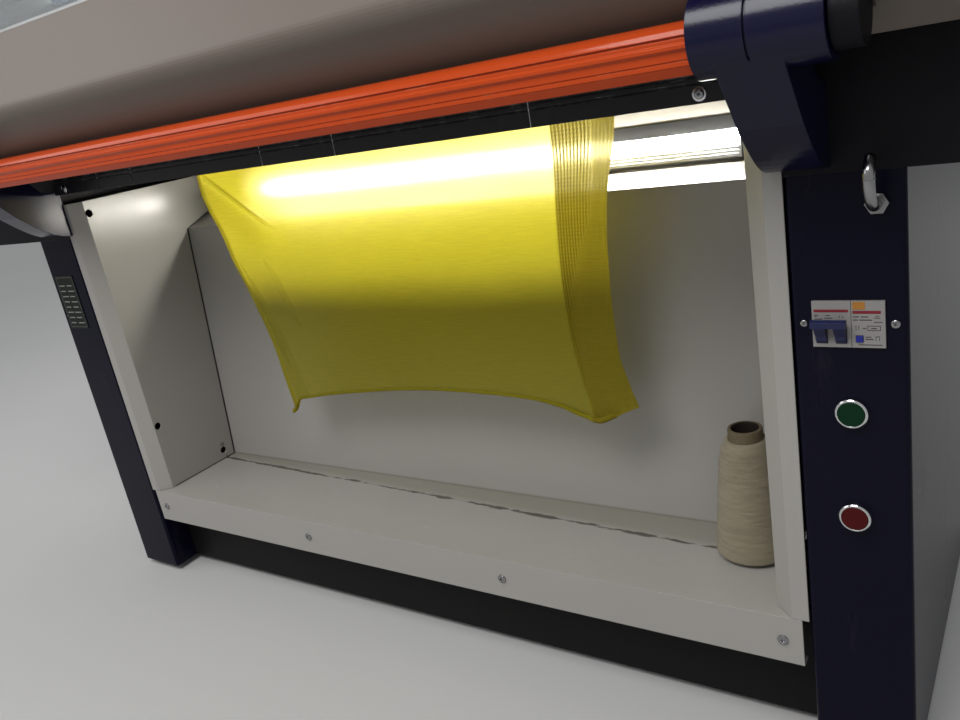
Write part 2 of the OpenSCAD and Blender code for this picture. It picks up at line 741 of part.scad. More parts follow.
// Three flat rails for the yarn feeders, each with a shallow dovetail groove
module feeder_rails() {
    color([0.80, 0.81, 0.83]) for (k = [-1:1])
        along_x(-bracket_x, bracket_x) translate([gap_y + k * feeder_gap, feeder_h]) difference() {
            translate([-4, 0]) square([8, 20]);
            for (s = [-1, 1]) translate([s * 4, 10]) polygon([[-1, -2], [1, -2], [1, 2], [-1, 2]]);
        }
}

// Yarn feeder: a saddle on its rail and an arm that slants to its own line over the gap
module feeder(k, x) {
    y0 = gap_y + k * feeder_gap;
    tip = gap_y + k * 6;
    translate([x, 0, 0]) {
        along_x(-22, 22) difference() {
            translate([y0 - 9, feeder_h - 6]) square([18, 32]);
            translate([y0 - 4 - run, feeder_h - run]) square([8 + 2 * run, 20 + 2 * run]);
        }
        along_x(-7, 7)
            polygon([[y0 - 3, feeder_h - 5], [y0 + 3, feeder_h - 5], [tip + 1.5, ridge_h + 18],
                [tip + 1.5, ridge_h + 8], [tip - 1.5, ridge_h + 8], [tip - 1.5, ridge_h + 18]]);
        translate([0, tip, ridge_h + 3]) cylinder(r = 1.5, h = 6);
    }
}

module front_feeder() {
    color([0.15, 0.35, 0.65]) feeder(-1, feeder_x[0]);
}

module middle_feeder() {
    color([0.15, 0.35, 0.65]) feeder(0, feeder_x[1]);
}

module rear_feeder() {
    color([0.15, 0.35, 0.65]) feeder(1, feeder_x[2]);
}

// Cam box: plate over a bed with a cam groove for the needle butts and a bush on the guide rod
module cam_box(s) {
    d0 = gap_w / 2 + 22;
    d1 = gap_w / 2 + bed_w;
    w = carriage_w / 2;
    difference() {
        union() {
            along_x(-w, w) on_slope(s, bed_side(cam_lift + cam_t, cam_lift, d0, d1));
            for (x = [-w, w - 50])
                along_x(x, x + 50) on_slope(s, [[d1 - 20, bed_z(d1 - 20) + cam_lift],
                    [d1 - 10, bed_z(d1 - 10) + cam_lift + cam_t], [rod_set + rod_r + 6, rod_h + rod_r],
                    [rod_set + rod_r + 6, rod_h - rod_r - 4], [rod_set - rod_r - 6, rod_h - rod_r - 4]]);
        }
        x_rod(rod_r + run, -w - 1, w + 1, gap_y + s * rod_set, rod_h);
        for (x = [-w + 20, 20]) along_x(x, x + w - 40)
            on_slope(s, bed_side(cam_lift + cam_t + 9, cam_lift + cam_t - 6, d0 + 20, d1 - 30));
    }
}

module front_cam_box() {
    color([0.45, 0.47, 0.50]) cam_box(-1);
}

module rear_cam_box() {
    d1 = gap_w / 2 + bed_w;
    belt_d = belt_y - gap_y;
    belt_low = pulley_h + pulley_r + run;
    color([0.45, 0.47, 0.50]) {
        cam_box(1);
        along_x(-40, 40) on_slope(1, [[d1 - 14, bed_z(d1 - 14) + cam_t], [d1, bed_z(d1) + cam_t],
            [rod_set, rod_h + rod_r + 14], [belt_d, belt_low - 18], [belt_d + belt_w, belt_low - 18],
            [belt_d + belt_w, belt_low - run], [belt_d - 3, belt_low - run],
            [belt_d - 3, belt_low + belt_t + run], [belt_d + belt_w, belt_low + belt_t + run],
            [belt_d + belt_w, belt_low + belt_t + 7], [belt_d - 12, belt_low + belt_t + 7]]);
    }
}

// Bridge that ties the two cam boxes over the feeder rails
module carriage_bridge() {
    top = feeder_h + 62;
    d0 = 56;
    color([0.78, 0.79, 0.80]) along_x(-60, 60)
        polygon([for (p = [[-d0 - 52, bed_z(d0 + 52) + cam_lift + cam_t], [-d0 - 22, top - 16], [-d0 - 6, top],
            [d0 + 6, top], [d0 + 22, top - 16], [d0 + 52, bed_z(d0 + 52) + cam_lift + cam_t],
            [d0 + 30, bed_z(d0 + 30) + cam_lift + cam_t], [d0 + 4, top - 26], [d0 - 4, top - 14],
            [-d0 + 4, top - 14], [-d0 - 4, top - 26], [-d0 - 30, bed_z(d0 + 30) + cam_lift + cam_t]])
            [gap_y + p[0], p[1]]]);
}

// Toothed belt over the two pulleys; the carriage is clamped to its upper run
module drive_belt() {
    r = pulley_r + run;
    color([0.12, 0.12, 0.12]) along_y(belt_y, belt_y + belt_w) difference() {
        union() {
            for (s = [-1, 1]) translate([s * pulley_x, pulley_h]) circle(r = r + belt_t);
            translate([-pulley_x, pulley_h - r - belt_t]) square([2 * pulley_x, 2 * (r + belt_t)]);
        }
        for (s = [-1, 1]) translate([s * pulley_x, pulley_h]) circle(r = r);
        translate([-pulley_x, pulley_h - r]) square([2 * pulley_x, 2 * r]);
    }
}

module pulley() {
    difference() {
        union() {
            y_rod(pulley_r, belt_y - 1, belt_y + belt_w + 1, 0, pulley_h);
            for (y = [belt_y - 3, belt_y + belt_w + 1]) y_rod(pulley_r + belt_t + 2, y, y + 2, 0, pulley_h);
        }
        for (a = [0:60:300]) y_rod(5, belt_y - 4, belt_y + belt_w + 4, 16 * cos(a), pulley_h + 16 * sin(a));
    }
    y_rod(8, belt_y - 6, belt_y + belt_w + 30, 0, pulley_h);
}

module drive_pulley() {
    color([0.7, 0.7, 0.72]) translate([pulley_x, 0, 0]) pulley();
}

module idler_pulley() {
    color([0.7, 0.7, 0.72]) translate([-pulley_x, 0, 0]) pulley();
}

// Motor behind the right pulley and the idler's bearing block, each on a foot on its bed end
module drive_motor() {
    y0 = belt_y + belt_w + 8;
    color([0.20, 0.21, 0.24]) {
        difference() {
            union() {
                block(pulley_x - 40, pulley_x + 40, y0 + 2, y0 + 14, bed_end_top, pulley_h + 40);
                block(pulley_x - 40, pulley_x + 40, y0 + 2, y0 + 60, bed_end_top, bed_end_top + 10);
                block(pulley_x - 36, pulley_x + 36, y0 + 14, y0 + 120, pulley_h - 36, pulley_h + 36);
            }
            y_rod(8 + run, y0, y0 + 26, pulley_x, pulley_h);
        }
        difference() {
            union() {
                block(-pulley_x - 30, -pulley_x + 30, y0 + 2, y0 + 24, bed_end_top, pulley_h + 24);
                block(-pulley_x - 30, -pulley_x + 30, y0 + 2, y0 + 60, bed_end_top, bed_end_top + 10);
            }
            y_rod(8 + run, y0, y0 + 23, -pulley_x, pulley_h);
        }
    }
}

// Yarn stand: two posts with round feet on the end covers, tied by two cross tubes
module yarn_stand() {
    color([0.85, 0.84, 0.80]) {
        mirrored() translate([post_x, post_y, hood_h]) {
            cylinder(r = post_r * 2.4, h = 8);
            cylinder(r = post_r, h = thread_bar_h - hood_h);
        }
        x_rod(post_r * 0.7, -post_x, post_x, post_y, table_h - 30);
        mirrored() block(post_x - 34, post_x + 10, post_y - table_front * 0.65, post_y + table_rear * 0.7,
            table_h - 16, table_h);
    }
}

// Yarn table: tray with folded rims, and a peg on its own disc for each cone
module yarn_table() {
    x1 = post_x - post_r + 6;
    y0 = post_y - table_front;
    y1 = post_y + table_rear;
    t = sheet_t;
    color([0.85, 0.84, 0.80]) difference() {
        block(-x1, x1, y0, y1, table_h, table_h + rim_h);
        block(-x1 + t, x1 - t, y0 + t, y1 - t, table_h + t, table_h + rim_h + 1);
        mirrored() translate([post_x, post_y, table_h - 1]) cylinder(r = post_r + 1, h = rim_h + 2);
    }
    color([0.2, 0.2, 0.2]) for (x = [-5:1:5], y = [y0 + table_front / 2, y1 - table_front / 2])
        translate([x * x1 / 5.7, y, table_h + t + run]) {
            cylinder(r = peg_r * 4, h = 3);
            cylinder(r = peg_r, h = peg_l);
            translate([0, 0, peg_l]) cylinder(r1 = peg_r, r2 = peg_r / 2, h = 6);
        }
}

// Thread bar on the posts' tops: tension discs and a grooved guide bobbin for each end
module thread_bar() {
    bar_t = 30;
    bar_z = 20;
    y0 = post_y - bar_t / 2;
    color([0.75, 0.76, 0.78]) {
        block(-post_x - bar_t, post_x + bar_t, y0, y0 + bar_t, thread_bar_h, thread_bar_h + bar_z);
        for (x = [-5:1:5]) translate([x * post_x / 5.8, y0, thread_bar_h + bar_z / 2]) {
            rotate([90, 0, 0]) {
                cylinder(r = 4, h = 34);
                translate([0, 0, 6]) cylinder(r1 = 16, r2 = 12, h = 3);
                translate([0, 0, 10]) cylinder(r1 = 12, r2 = 16, h = 3);
                translate([0, 0, 13]) cylinder(r = 8, h = 14);
            }
            translate([0, bar_t - 1, 0]) rotate([-90, 0, 0]) {
                cylinder(r = 4, h = 12);
                for (z = [4, 10]) translate([0, 0, z]) cylinder(r = 9, h = 3);
            }
        }
    }
}

// Signal lamp on the right post's top
module tower_lamp() {
    translate([post_x, post_y, thread_bar_h + 20]) {
        color([0.2, 0.2, 0.2]) cylinder(r = 20, h = 12);
        color([0.1, 0.5, 0.2]) translate([0, 0, 12]) cylinder(r = 19, h = 26);
        color([0.8, 0.1, 0.1]) translate([0, 0, 38]) cylinder(r = 19, h = 26);
        color([0.2, 0.2, 0.2]) translate([0, 0, 64]) cylinder(r1 = 19, r2 = 14, h = 8);
    }
}

screen_x = half_w + 230;
screen_y = cover_top_y + 200;
screen_z = hood_h + 150;

// Column of the control screen, on the right end cover's roof
module screen_arm() {
    color([0.2, 0.2, 0.22]) translate([screen_x, screen_y, hood_h]) {
        cylinder(r = 34, h = 8);
        cylinder(r = 18, h = 110);
        cylinder(r = 10, h = 140);
    }
}

// Control screen housing: moulded shell with a bezel step, on a swivel socket
module control_screen() {
    color([0.25, 0.25, 0.27]) translate([screen_x, screen_y, screen_z - 40 + run]) {
        difference() {
            cylinder(r = 24, h = 46);
            translate([0, 0, -1]) cylinder(r = 10 + run, h = 40);
        }
        translate([0, -20, 36]) rotate([-12, 0, 0]) difference() {
            union() {
                block(-170, 170, -34, 0, 0, 250);
                block(-120, 120, -1, 24, 30, 220);
            }
            block(-152, 152, -35, -31, 58, 236);
            y_rod(12 + run, -35, -12, 120, 28);
        }
    }
}

// Mushroom stop button in the screen housing's lower corner
module e_stop_button() {
    color([0.75, 0.08, 0.06]) translate([screen_x, screen_y - 20, screen_z - 4]) rotate([-12, 0, 0])
        translate([120, -34, 28]) rotate([90, 0, 0]) {
            translate([0, 0, -12]) cylinder(r = 12, h = 20);
            translate([0, 0, 8]) cylinder(r = 20, h = 8);
            translate([0, 0, 16]) cylinder(r1 = 20, r2 = 15, h = 4);
        }
}

// Places in the breaker's face: its lower left corner, the split, and the toggle's axis and legs
breaker_x = leg_x - breaker_w / 2;
breaker_z = breaker_h - breaker_tall / 2;
breaker_y = front_y - 3;
split = breaker_w * 0.547;
toggle_y = breaker_y + 5;
toggle_z = breaker_h - 9;
toggle_r = 10.6;
toggle_legs = [[3.5, 13], [20.7, 30]];
test_w = 6;
test_x = breaker_x + split + 3.6;
test_z = breaker_z + 5.7;

// Two-part circuit breaker seen through the leg's cut-out, with its hat rail behind
module breaker_body() {
    color([0.88, 0.87, 0.82]) {
        difference() {
            union() {
                block(breaker_x, breaker_x + split - 0.4, breaker_y, front_y + 60, breaker_z,
                    breaker_z + breaker_tall);
                block(breaker_x + split, breaker_x + breaker_w, breaker_y, front_y + 60, breaker_z,
                    breaker_z + breaker_tall);
                block(breaker_x + 1, breaker_x + breaker_w - 1, breaker_y + 6, front_y + 59, breaker_z + 1,
                    breaker_z + breaker_tall - 1);
            }
            for (g = toggle_legs)
                x_rod(toggle_r + 0.4, breaker_x + g[0] - run, breaker_x + g[1] + run, toggle_y, toggle_z);
            block(test_x - run, test_x + test_w + run, breaker_y - 1, breaker_y + 7, test_z - run,
                test_z + test_w + run);
        }
        block(half_w + leg_t, half_w + leg_w - leg_t, front_y + 60, front_y + 67, breaker_h - 17,
            breaker_h + 17);
    }
}

// Toggle: a grip bar on two legs, each ending in a round foot that turns in its slot
module breaker_toggle() {
    color([0.05, 0.07, 0.2]) {
        for (g = toggle_legs) {
            x_rod(toggle_r, breaker_x + g[0], breaker_x + g[1], toggle_y, toggle_z);
            along_x(breaker_x + g[0], breaker_x + g[1]) translate([toggle_y, toggle_z])
                polygon([[-8, -5], [-3, 6], [-14, 16], [-19, 15], [-19, 9]]);
        }
        along_x(breaker_x + 0.8, breaker_x + 32) translate([toggle_y, toggle_z])
            polygon([[-19, 9], [-14, 8], [-13, 16], [-17, 16.5], [-19.5, 15]]);
    }
}

module breaker_test_button() {
    color([0.1, 0.3, 0.7])
        block(test_x, test_x + test_w, breaker_y - 1.5, breaker_y + 5, test_z, test_z + test_w);
}

// Height of a button's bezel, and the cap's radius and height
function bezel_rise(z) = z == red_h ? bezel_h + red_step : bezel_h;
cap_r = bezel_r - 2.6;
cap_t = 2.3;

// Chrome bezels of the two push buttons, with their bodies behind the sheet
module button_bezels() {
    color([0.8, 0.8, 0.82]) for (z = [green_h, red_h]) translate([leg_x, front_y, z]) rotate([90, 0, 0])
        difference() {
            rise = bezel_rise(z);
            union() {
                cylinder(r = bezel_r, h = rise - 1);
                translate([0, 0, rise - 1]) cylinder(r1 = bezel_r, r2 = bezel_r - 1, h = 1);
                translate([0, 0, -leg_t]) cylinder(r = bezel_r - 4 - run, h = leg_t + 1);
                translate([0, 0, -leg_t - 30]) cylinder(r = bezel_r - 1, h = 30);
            }
            translate([0, 0, rise - press - cap_t]) cylinder(r = cap_r + run, h = press + cap_t + 1);
            translate([0, 0, -leg_t - 12]) cylinder(r = bezel_r - 7, h = leg_t + 20);
        }
}

// Cap of a push button on its stem; it stands a little out of its bezel
module button(z) {
    rise = bezel_rise(z);
    translate([leg_x, front_y, z]) rotate([90, 0, 0]) {
        translate([0, 0, rise - cap_t + 0.6]) cylinder(r = cap_r, h = cap_t - 0.5);
        translate([0, 0, rise - 0.5]) cylinder(r1 = cap_r, r2 = cap_r - 0.6, h = 1);
        translate([0, 0, -8]) cylinder(r = bezel_r - 7 - run, h = rise + 7);
    }
}

module start_button() {
    color([0, 0.30, 0.14]) button(green_h);
}

module stop_button() {
    color([0.55, 0.08, 0.08]) button(red_h);
}

// Bent chrome hook screwed into the leg's front with a nut: forward, up and back again
module cone_hook() {
    x0 = hook_x;
    z0 = hook_z;
    low_y = front_y - 12;
    low_r = 26;
    top_r = 18;
    joint_r = hook_r + 0.2;
    color([0.8, 0.81, 0.83]) {
        y_rod(screw_r / 2 - 0.2, front_y - 8, front_y + leg_t + 6, x0, z0);
        translate([x0, front_y, z0]) rotate([90, 0, 0]) cylinder(r = 10, h = 7, $fn = 6);
        y_rod(hook_r, low_y + 0.2, front_y - 6, x0, z0);
        translate([x0, low_y, z0]) sphere(r = joint_r);
        translate([x0, low_y, z0 + low_r]) rotate([90, 0, 90]) rotate(180.5) rotate_extrude(angle = 89)
            translate([low_r, 0]) circle(r = hook_r);
        translate([x0, low_y - low_r, z0 + low_r]) sphere(r = joint_r);
        translate([x0, low_y - low_r + top_r, z0 + low_r]) rotate([90, 0, 90]) rotate(115)
            rotate_extrude(angle = 64.5) translate([top_r, 0]) circle(r = hook_r);
    }
}

// Hem and free edges of the fabric, from its left corner to its right one: X and height
fabric_hem = [[-256, 321], [-236, 344], [-179, 355], [-121, 364], [-15, 375], [80, 381], [167, 381],
    [230, 376], [267, 367], [288, 357], [316, 348], [338, 356], [372, 371]];
fabric_right = [[365, 404], [358, 476], [358, 540], [362, 589], [374, 647], [387, 724]];
fabric_left = [[-341, 724], [-336, 663], [-324, 613], [-309, 545], [-289, 481], [-275, 414]];

// Knitted fabric from the needles down between the rollers to its free rolled hem
module knit_fabric() {
    t = fabric_t / 2;
    hem_t = 10;
    n = len(fabric_hem) - 1;
    color([0.85, 0.78, 0.2]) {
        along_y(gap_y - t, gap_y + t)
            polygon(concat(fabric_hem, fabric_right, [[388, ridge_h - 6], [-343, ridge_h - 6]], fabric_left));
        along_y(gap_y - hem_t / 2, gap_y + hem_t / 2)
            polygon(concat(fabric_hem, [for (i = [n:-1:0]) fabric_hem[i] + [i == n ? -2 : 0, hem_t]]));
    }
}

// Yarn cone on its card tube, standing in the tray
module yarn_cone() {
    y0 = front_y + 120;
    tube = 20.5;
    translate([cone_x, y0, tray_h]) {
        color([0.9, 0.87, 0.78]) rotate_extrude($fn = 64)
            polygon([[tube - 3, 4], [cone_r - 3, 4], [cone_r, 8], [cone_r - 0.5, cone_h * 0.09],
                [cone_r - 6, cone_h * 0.45], [cone_r - 11.5, cone_h * 0.76], [cone_r - 15, cone_h * 0.86],
                [cone_r - 19, cone_h * 0.905], [tube + 1, cone_h * 0.92], [tube - 3, cone_h * 0.92]]);
        color([0.6, 0.5, 0.38]) rotate_extrude($fn = 64)
            polygon([[tube - 3.5, 0], [tube, 0], [tube, cone_h - 2], [tube - 1.5, cone_h],
                [tube - 3.5, cone_h - 2]]);
    }
}

left_leg();
right_leg();
levelling_feet();
cross_panels();
fabric_tray();
tray_screws();
side_panels();
tray_back_panel();
lamp_housing();
lamp_diffuser();
left_bed_end();
right_bed_end();
front_beam();
rear_beam();
front_needle_bed();
rear_needle_bed();
front_needles();
rear_needles();
takedown_roller();
pinch_roller();
front_rail();
start_bar();
left_bar_bracket();
right_bar_bracket();
front_cover();
rear_cover();
left_end_cover();
right_end_cover();
hood_beam();
left_window();
right_window();
end_brackets();
guide_rods();
feeder_rails();
front_feeder();
middle_feeder();
rear_feeder();
front_cam_box();
rear_cam_box();
carriage_bridge();
drive_belt();
drive_pulley();
idler_pulley();
drive_motor();
yarn_stand();
yarn_table();
thread_bar();
tower_lamp();
screen_arm();
control_screen();
e_stop_button();
breaker_body();
breaker_toggle();
breaker_test_button();
button_bezels();
start_button();
stop_button();
cone_hook();
knit_fabric();
yarn_cone();
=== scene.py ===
"""Finish of the flat knitting machine: paint, metal, plastic, hanging knit and yarn cone."""

import functools
import math

import bmesh
import bpy
from bpy.props import FloatProperty, FloatVectorProperty, IntProperty, PointerProperty
from mathutils import Matrix, Vector, noise


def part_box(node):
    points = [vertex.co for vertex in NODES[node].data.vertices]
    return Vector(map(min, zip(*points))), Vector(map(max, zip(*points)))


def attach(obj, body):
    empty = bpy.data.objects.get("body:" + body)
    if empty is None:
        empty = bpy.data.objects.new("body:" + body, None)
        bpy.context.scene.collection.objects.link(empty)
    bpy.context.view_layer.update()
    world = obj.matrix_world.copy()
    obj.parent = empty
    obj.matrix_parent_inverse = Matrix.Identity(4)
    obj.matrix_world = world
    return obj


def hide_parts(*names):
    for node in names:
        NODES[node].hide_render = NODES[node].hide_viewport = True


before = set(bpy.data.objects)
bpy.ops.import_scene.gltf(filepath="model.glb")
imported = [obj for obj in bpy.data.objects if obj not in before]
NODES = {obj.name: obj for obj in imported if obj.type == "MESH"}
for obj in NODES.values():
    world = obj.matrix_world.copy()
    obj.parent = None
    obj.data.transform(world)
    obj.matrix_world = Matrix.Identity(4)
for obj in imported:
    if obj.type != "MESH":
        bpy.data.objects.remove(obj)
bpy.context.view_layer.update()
MM = 0.001
# Rays that the materials spend on rounded and on worn edges
ROUNDING_SAMPLES, WEAR_SAMPLES = 4, 3

bl_info = {
    "name": "Flat knitting machine finish",
    "version": (1, 0, 0),
    "blender": (4, 5, 0),
    "location": "View3D > Sidebar > Knitter",
    "description": "Dresses the flat knitting machine with its paint, metal, knit and yarn",
    "category": "Object",
}

# Places taken from the frame
LEG_LOW, LEG_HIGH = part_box("right_leg")
KNIT_LOW, KNIT_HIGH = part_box("knit_fabric")
CONE_LOW, CONE_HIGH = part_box("yarn_cone")
BREAKER_LOW, BREAKER_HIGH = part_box("breaker_body")
RAIL_LOW, RAIL_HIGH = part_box("front_rail")
SCREEN_ARM_LOW, SCREEN_ARM_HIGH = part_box("screen_arm")
SIGNAL_LOW, SIGNAL_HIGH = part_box("tower_lamp")
ROLLER_LOW, ROLLER_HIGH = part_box("takedown_roller")
GAP_Y = (KNIT_LOW.y + KNIT_HIGH.y) / 2


def foot_of(low, high):
    """Middle of a box's underside."""
    return Vector(((low.x + high.x) / 2, (low.y + high.y) / 2, low.z))


LEG_MIDDLE = (LEG_LOW.x + LEG_HIGH.x) / 2
BREAKER_MIDDLE = (BREAKER_LOW.z + BREAKER_HIGH.z) / 2
# Y and Z of the dirty seam between the tray's floor and its back panel; a painted shadow also
# darkens the floor behind it
TRAY_SEAM = (-0.122, 0.179)
# Inner face of the side walls, how far the painted gap shadows on them stand in and how wide these
# are, and the walls' foot and top at the leaning back panel
WALL_X, WALL_SKIN, WALL_GAP_SHADOW = 0.5525, 0.0004, 0.0028
WALL_FOOT, WALL_TOP = Vector((0, -0.0806, 0.1805)), Vector((0, -0.0428, 0.6285))
# Y and Z of the joint between each side wall and the tray's floor, from front to rear, where a
# painted gap shadow lies
FLOOR_GAP_SHADOW = ((-0.225, 0.1794), (-0.0825, 0.1808))
# Screws of the rail and the breaker, from the machine's and the breaker's middle
RAIL_SCREW_X, RAIL_SCREW_Z, BREAKER_SCREW_X = 0.5283, 0.7448, 0.0395
RAIL_SCREW_RADIUS, WASHER_RADIUS, BREAKER_SCREW_RADII = 0.0050, 0.0069, (0.0036, 0.0043)
# Where the screen hangs over its arm's foot, and how far it leans back
SCREEN_SEAT, SCREEN_LEAN = Vector((0, -0.020, 0.1463)), math.radians(-12)
# Joints of the rail's lengths, in millimetres from the middle
RAIL_JOINTS = (-430, -342, -57, 73, 350)


def tint(name, description, default):
    return FloatVectorProperty(name=name, description=description, subtype="COLOR", size=3, min=0,
                               max=1, default=default)


class KnitterPaint(bpy.types.PropertyGroup):
    """Colours of the painted, moulded and spun surfaces"""

    navy: tint("Cabinet navy", "Paint of the leg cabinets", (0.0030, 0.0027, 0.0095))
    bracket: tint("Bracket navy", "Glossier paint of the start bar's brackets",
                  (0.0042, 0.0042, 0.022))
    cream: tint("Tray cream", "Paint of the tray, its walls and the yarn stand",
                (0.285, 0.272, 0.250))
    beige: tint("Cover beige", "Paint of the covers", (0.112, 0.091, 0.074))
    orange: tint("Bar orange", "Paint of the start bar", (0.41, 0.048, 0.008))
    yellow: tint("Knit yellow", "Yarn of the knitted fabric", (0.45, 0.395, 0.021))
    ochre: tint("Border ochre", "Denser yarn of the ribbed border", (0.205, 0.150, 0.006))
    yarn: tint("Cone yarn", "Yarn on the cone", (0.245, 0.210, 0.140))


class KnitterKnit(bpy.types.PropertyGroup):
    """Sizes of the hanging knit"""

    rib_pitch: FloatProperty(
        name="Rib pitch", description="Distance between the ribs of the border",
        subtype="DISTANCE", unit="LENGTH", min=0.003, max=0.02, default=0.005,
    )
    fold_depth: FloatProperty(
        name="Fold depth", description="How far the soft folds swing forward and back",
        subtype="DISTANCE", unit="LENGTH", min=0, max=0.03, default=0.006,
    )
    see_through: FloatProperty(
        name="See through", description="Share of light that passes between the stitches",
        subtype="FACTOR", min=0, max=0.6, default=0.085,
    )
    haze: FloatProperty(
        name="Haze", description="Share of light that the loose fibres let through, widely spread",
        subtype="FACTOR", min=0, max=0.6, default=0.15,
    )
    plain_columns: IntProperty(
        name="Plain columns", description="Mesh columns across the plain knit", min=60, max=300,
        default=190,
    )
    border_columns: IntProperty(
        name="Border columns", description="Mesh columns across the ribbed border", min=30,
        max=200, default=128,
    )
    rows: IntProperty(
        name="Rows", description="Mesh rows down the free length", min=60, max=300, default=186,
    )


class KnitterStage(bpy.types.PropertyGroup):
    """Camera and light"""

    camera_place: FloatVectorProperty(
        name="Camera place", description="Where the photograph was taken from",
        subtype="TRANSLATION", unit="LENGTH", size=3, default=(0.8035, -1.0402, 0.7869),
    )
    camera_turn: FloatVectorProperty(
        name="Camera turn", description="Rotation of the camera",
        subtype="EULER", unit="ROTATION", size=3,
        default=tuple(math.radians(a) for a in (71.835, 9.946, 33.316)),
    )
    lens: FloatProperty(
        name="Lens", description="Focal length for a sensor 36 mm wide, in millimetres",
        min=10, max=100, default=31.51,
    )
    lamp_glow: FloatProperty(
        name="Lamp glow", description="Emission strength of the tray lamp", min=0, max=80,
        default=58,
    )


class Wiring:
    """Adds nodes to a tree, sets their inputs by name and joins them"""

    def __init__(self, tree):
        self.tree = tree

    def add(self, kind, settings=None, **inputs):
        node = self.tree.nodes.new(kind)
        for key, value in (settings or {}).items():
            setattr(node, key, value)
        self.fill(node, inputs)
        return node

    def fill(self, node, inputs):
        for key, value in inputs.items():
            self.feed(node, key.replace("_", " "), value)

    def feed(self, node, name, value):
        socket = node.inputs[int(name)] if name.isdigit() else node.inputs[name]
        if isinstance(value, bpy.types.NodeSocket):
            self.tree.links.new(value, socket)
        else:
            socket.default_value = value

    def math(self, operation, first, second=0.0, third=0.0, clamp=False):
        node = self.add("ShaderNodeMath", {"operation": operation, "use_clamp": clamp})
        for place, value in enumerate((first, second, third)):
            self.feed(node, str(place), value)
        return node.outputs[0]

    def chain(self, operation, values, clamp):
        """Joins values from left to right by one operation; clamp holds for the last."""
        *early, last = values
        total = early[0]
        for value in early[1:]:
            total = self.math(operation, total, value)
        return self.math(operation, total, last, clamp=clamp)

    def times(self, *values, clamp=False):
        return self.chain("MULTIPLY", values, clamp)

    def plus(self, *values):
        return self.chain("ADD", values, False)

    def minus(self, first, second):
        return self.math("SUBTRACT", first, second)

    def place(self):
        return self.add("ShaderNodeTexCoord").outputs["Object"]

    def noise(self, coords, scale, detail=3.0, roughness=0.55):
        return self.add("ShaderNodeTexNoise", Vector=coords, Scale=scale, Detail=detail,
                        Roughness=roughness).outputs["Fac"]

    def spread(self, value, low, high, out_low=0.0, out_high=1.0):
        node = self.add("ShaderNodeMapRange", {"interpolation_type": "SMOOTHSTEP"})
        for name, number in zip(("Value", "From Min", "From Max", "To Min", "To Max"),
                                (value, low, high, out_low, out_high)):
            self.feed(node, name, number)
        return node.outputs["Result"]

    def blend(self, factor, first, second):
        node = self.add("ShaderNodeMix", {"data_type": "RGBA"})
        for place, value in (("0", factor), ("6", first), ("7", second)):
            self.feed(node, place, value)
        return node.outputs[2]

    def dot(self, first, second, operation="DOT_PRODUCT"):
        node = self.add("ShaderNodeVectorMath", {"operation": operation})
        self.feed(node, "0", first)
        self.feed(node, "1", second)
        return node.outputs["Value" if operation == "DOT_PRODUCT" else "Vector"]

    def toned(self, colour, value):
        return self.add("ShaderNodeHueSaturation", Color=colour, Value=value).outputs[0]

    def scaled(self, coords, *scale):
        return self.add("ShaderNodeMapping", Vector=coords, Scale=scale).outputs[0]

    def axis(self, vector, name):
        return self.add("ShaderNodeSeparateXYZ", Vector=vector).outputs[name]

    def mixed(self, factor, first, second):
        node = self.add("ShaderNodeMixShader")
        for place, value in enumerate((factor, first, second)):
            self.feed(node, str(place), value)
        return node.outputs[0]


COLOUR, FLOAT = "NodeSocketColor", "NodeSocketFloat"


def new_group(name, inputs, outputs):
    """Starts a shader node group; inputs are names with defaults, outputs are names."""
    group = bpy.data.node_groups.new(name, "ShaderNodeTree")
    for label, default in inputs.items():
        kind = COLOUR if isinstance(default, tuple) else FLOAT
        socket = group.interface.new_socket(name=label, in_out="INPUT", socket_type=kind)
        socket.default_value = default
    for label in outputs:
        kind = COLOUR if label == "Colour" else FLOAT
        group.interface.new_socket(name=label, in_out="OUTPUT", socket_type=kind)
    wiring = Wiring(group)
    start = wiring.add("NodeGroupInput")
    end = wiring.add("NodeGroupOutput")
    return group, wiring, start.outputs, end


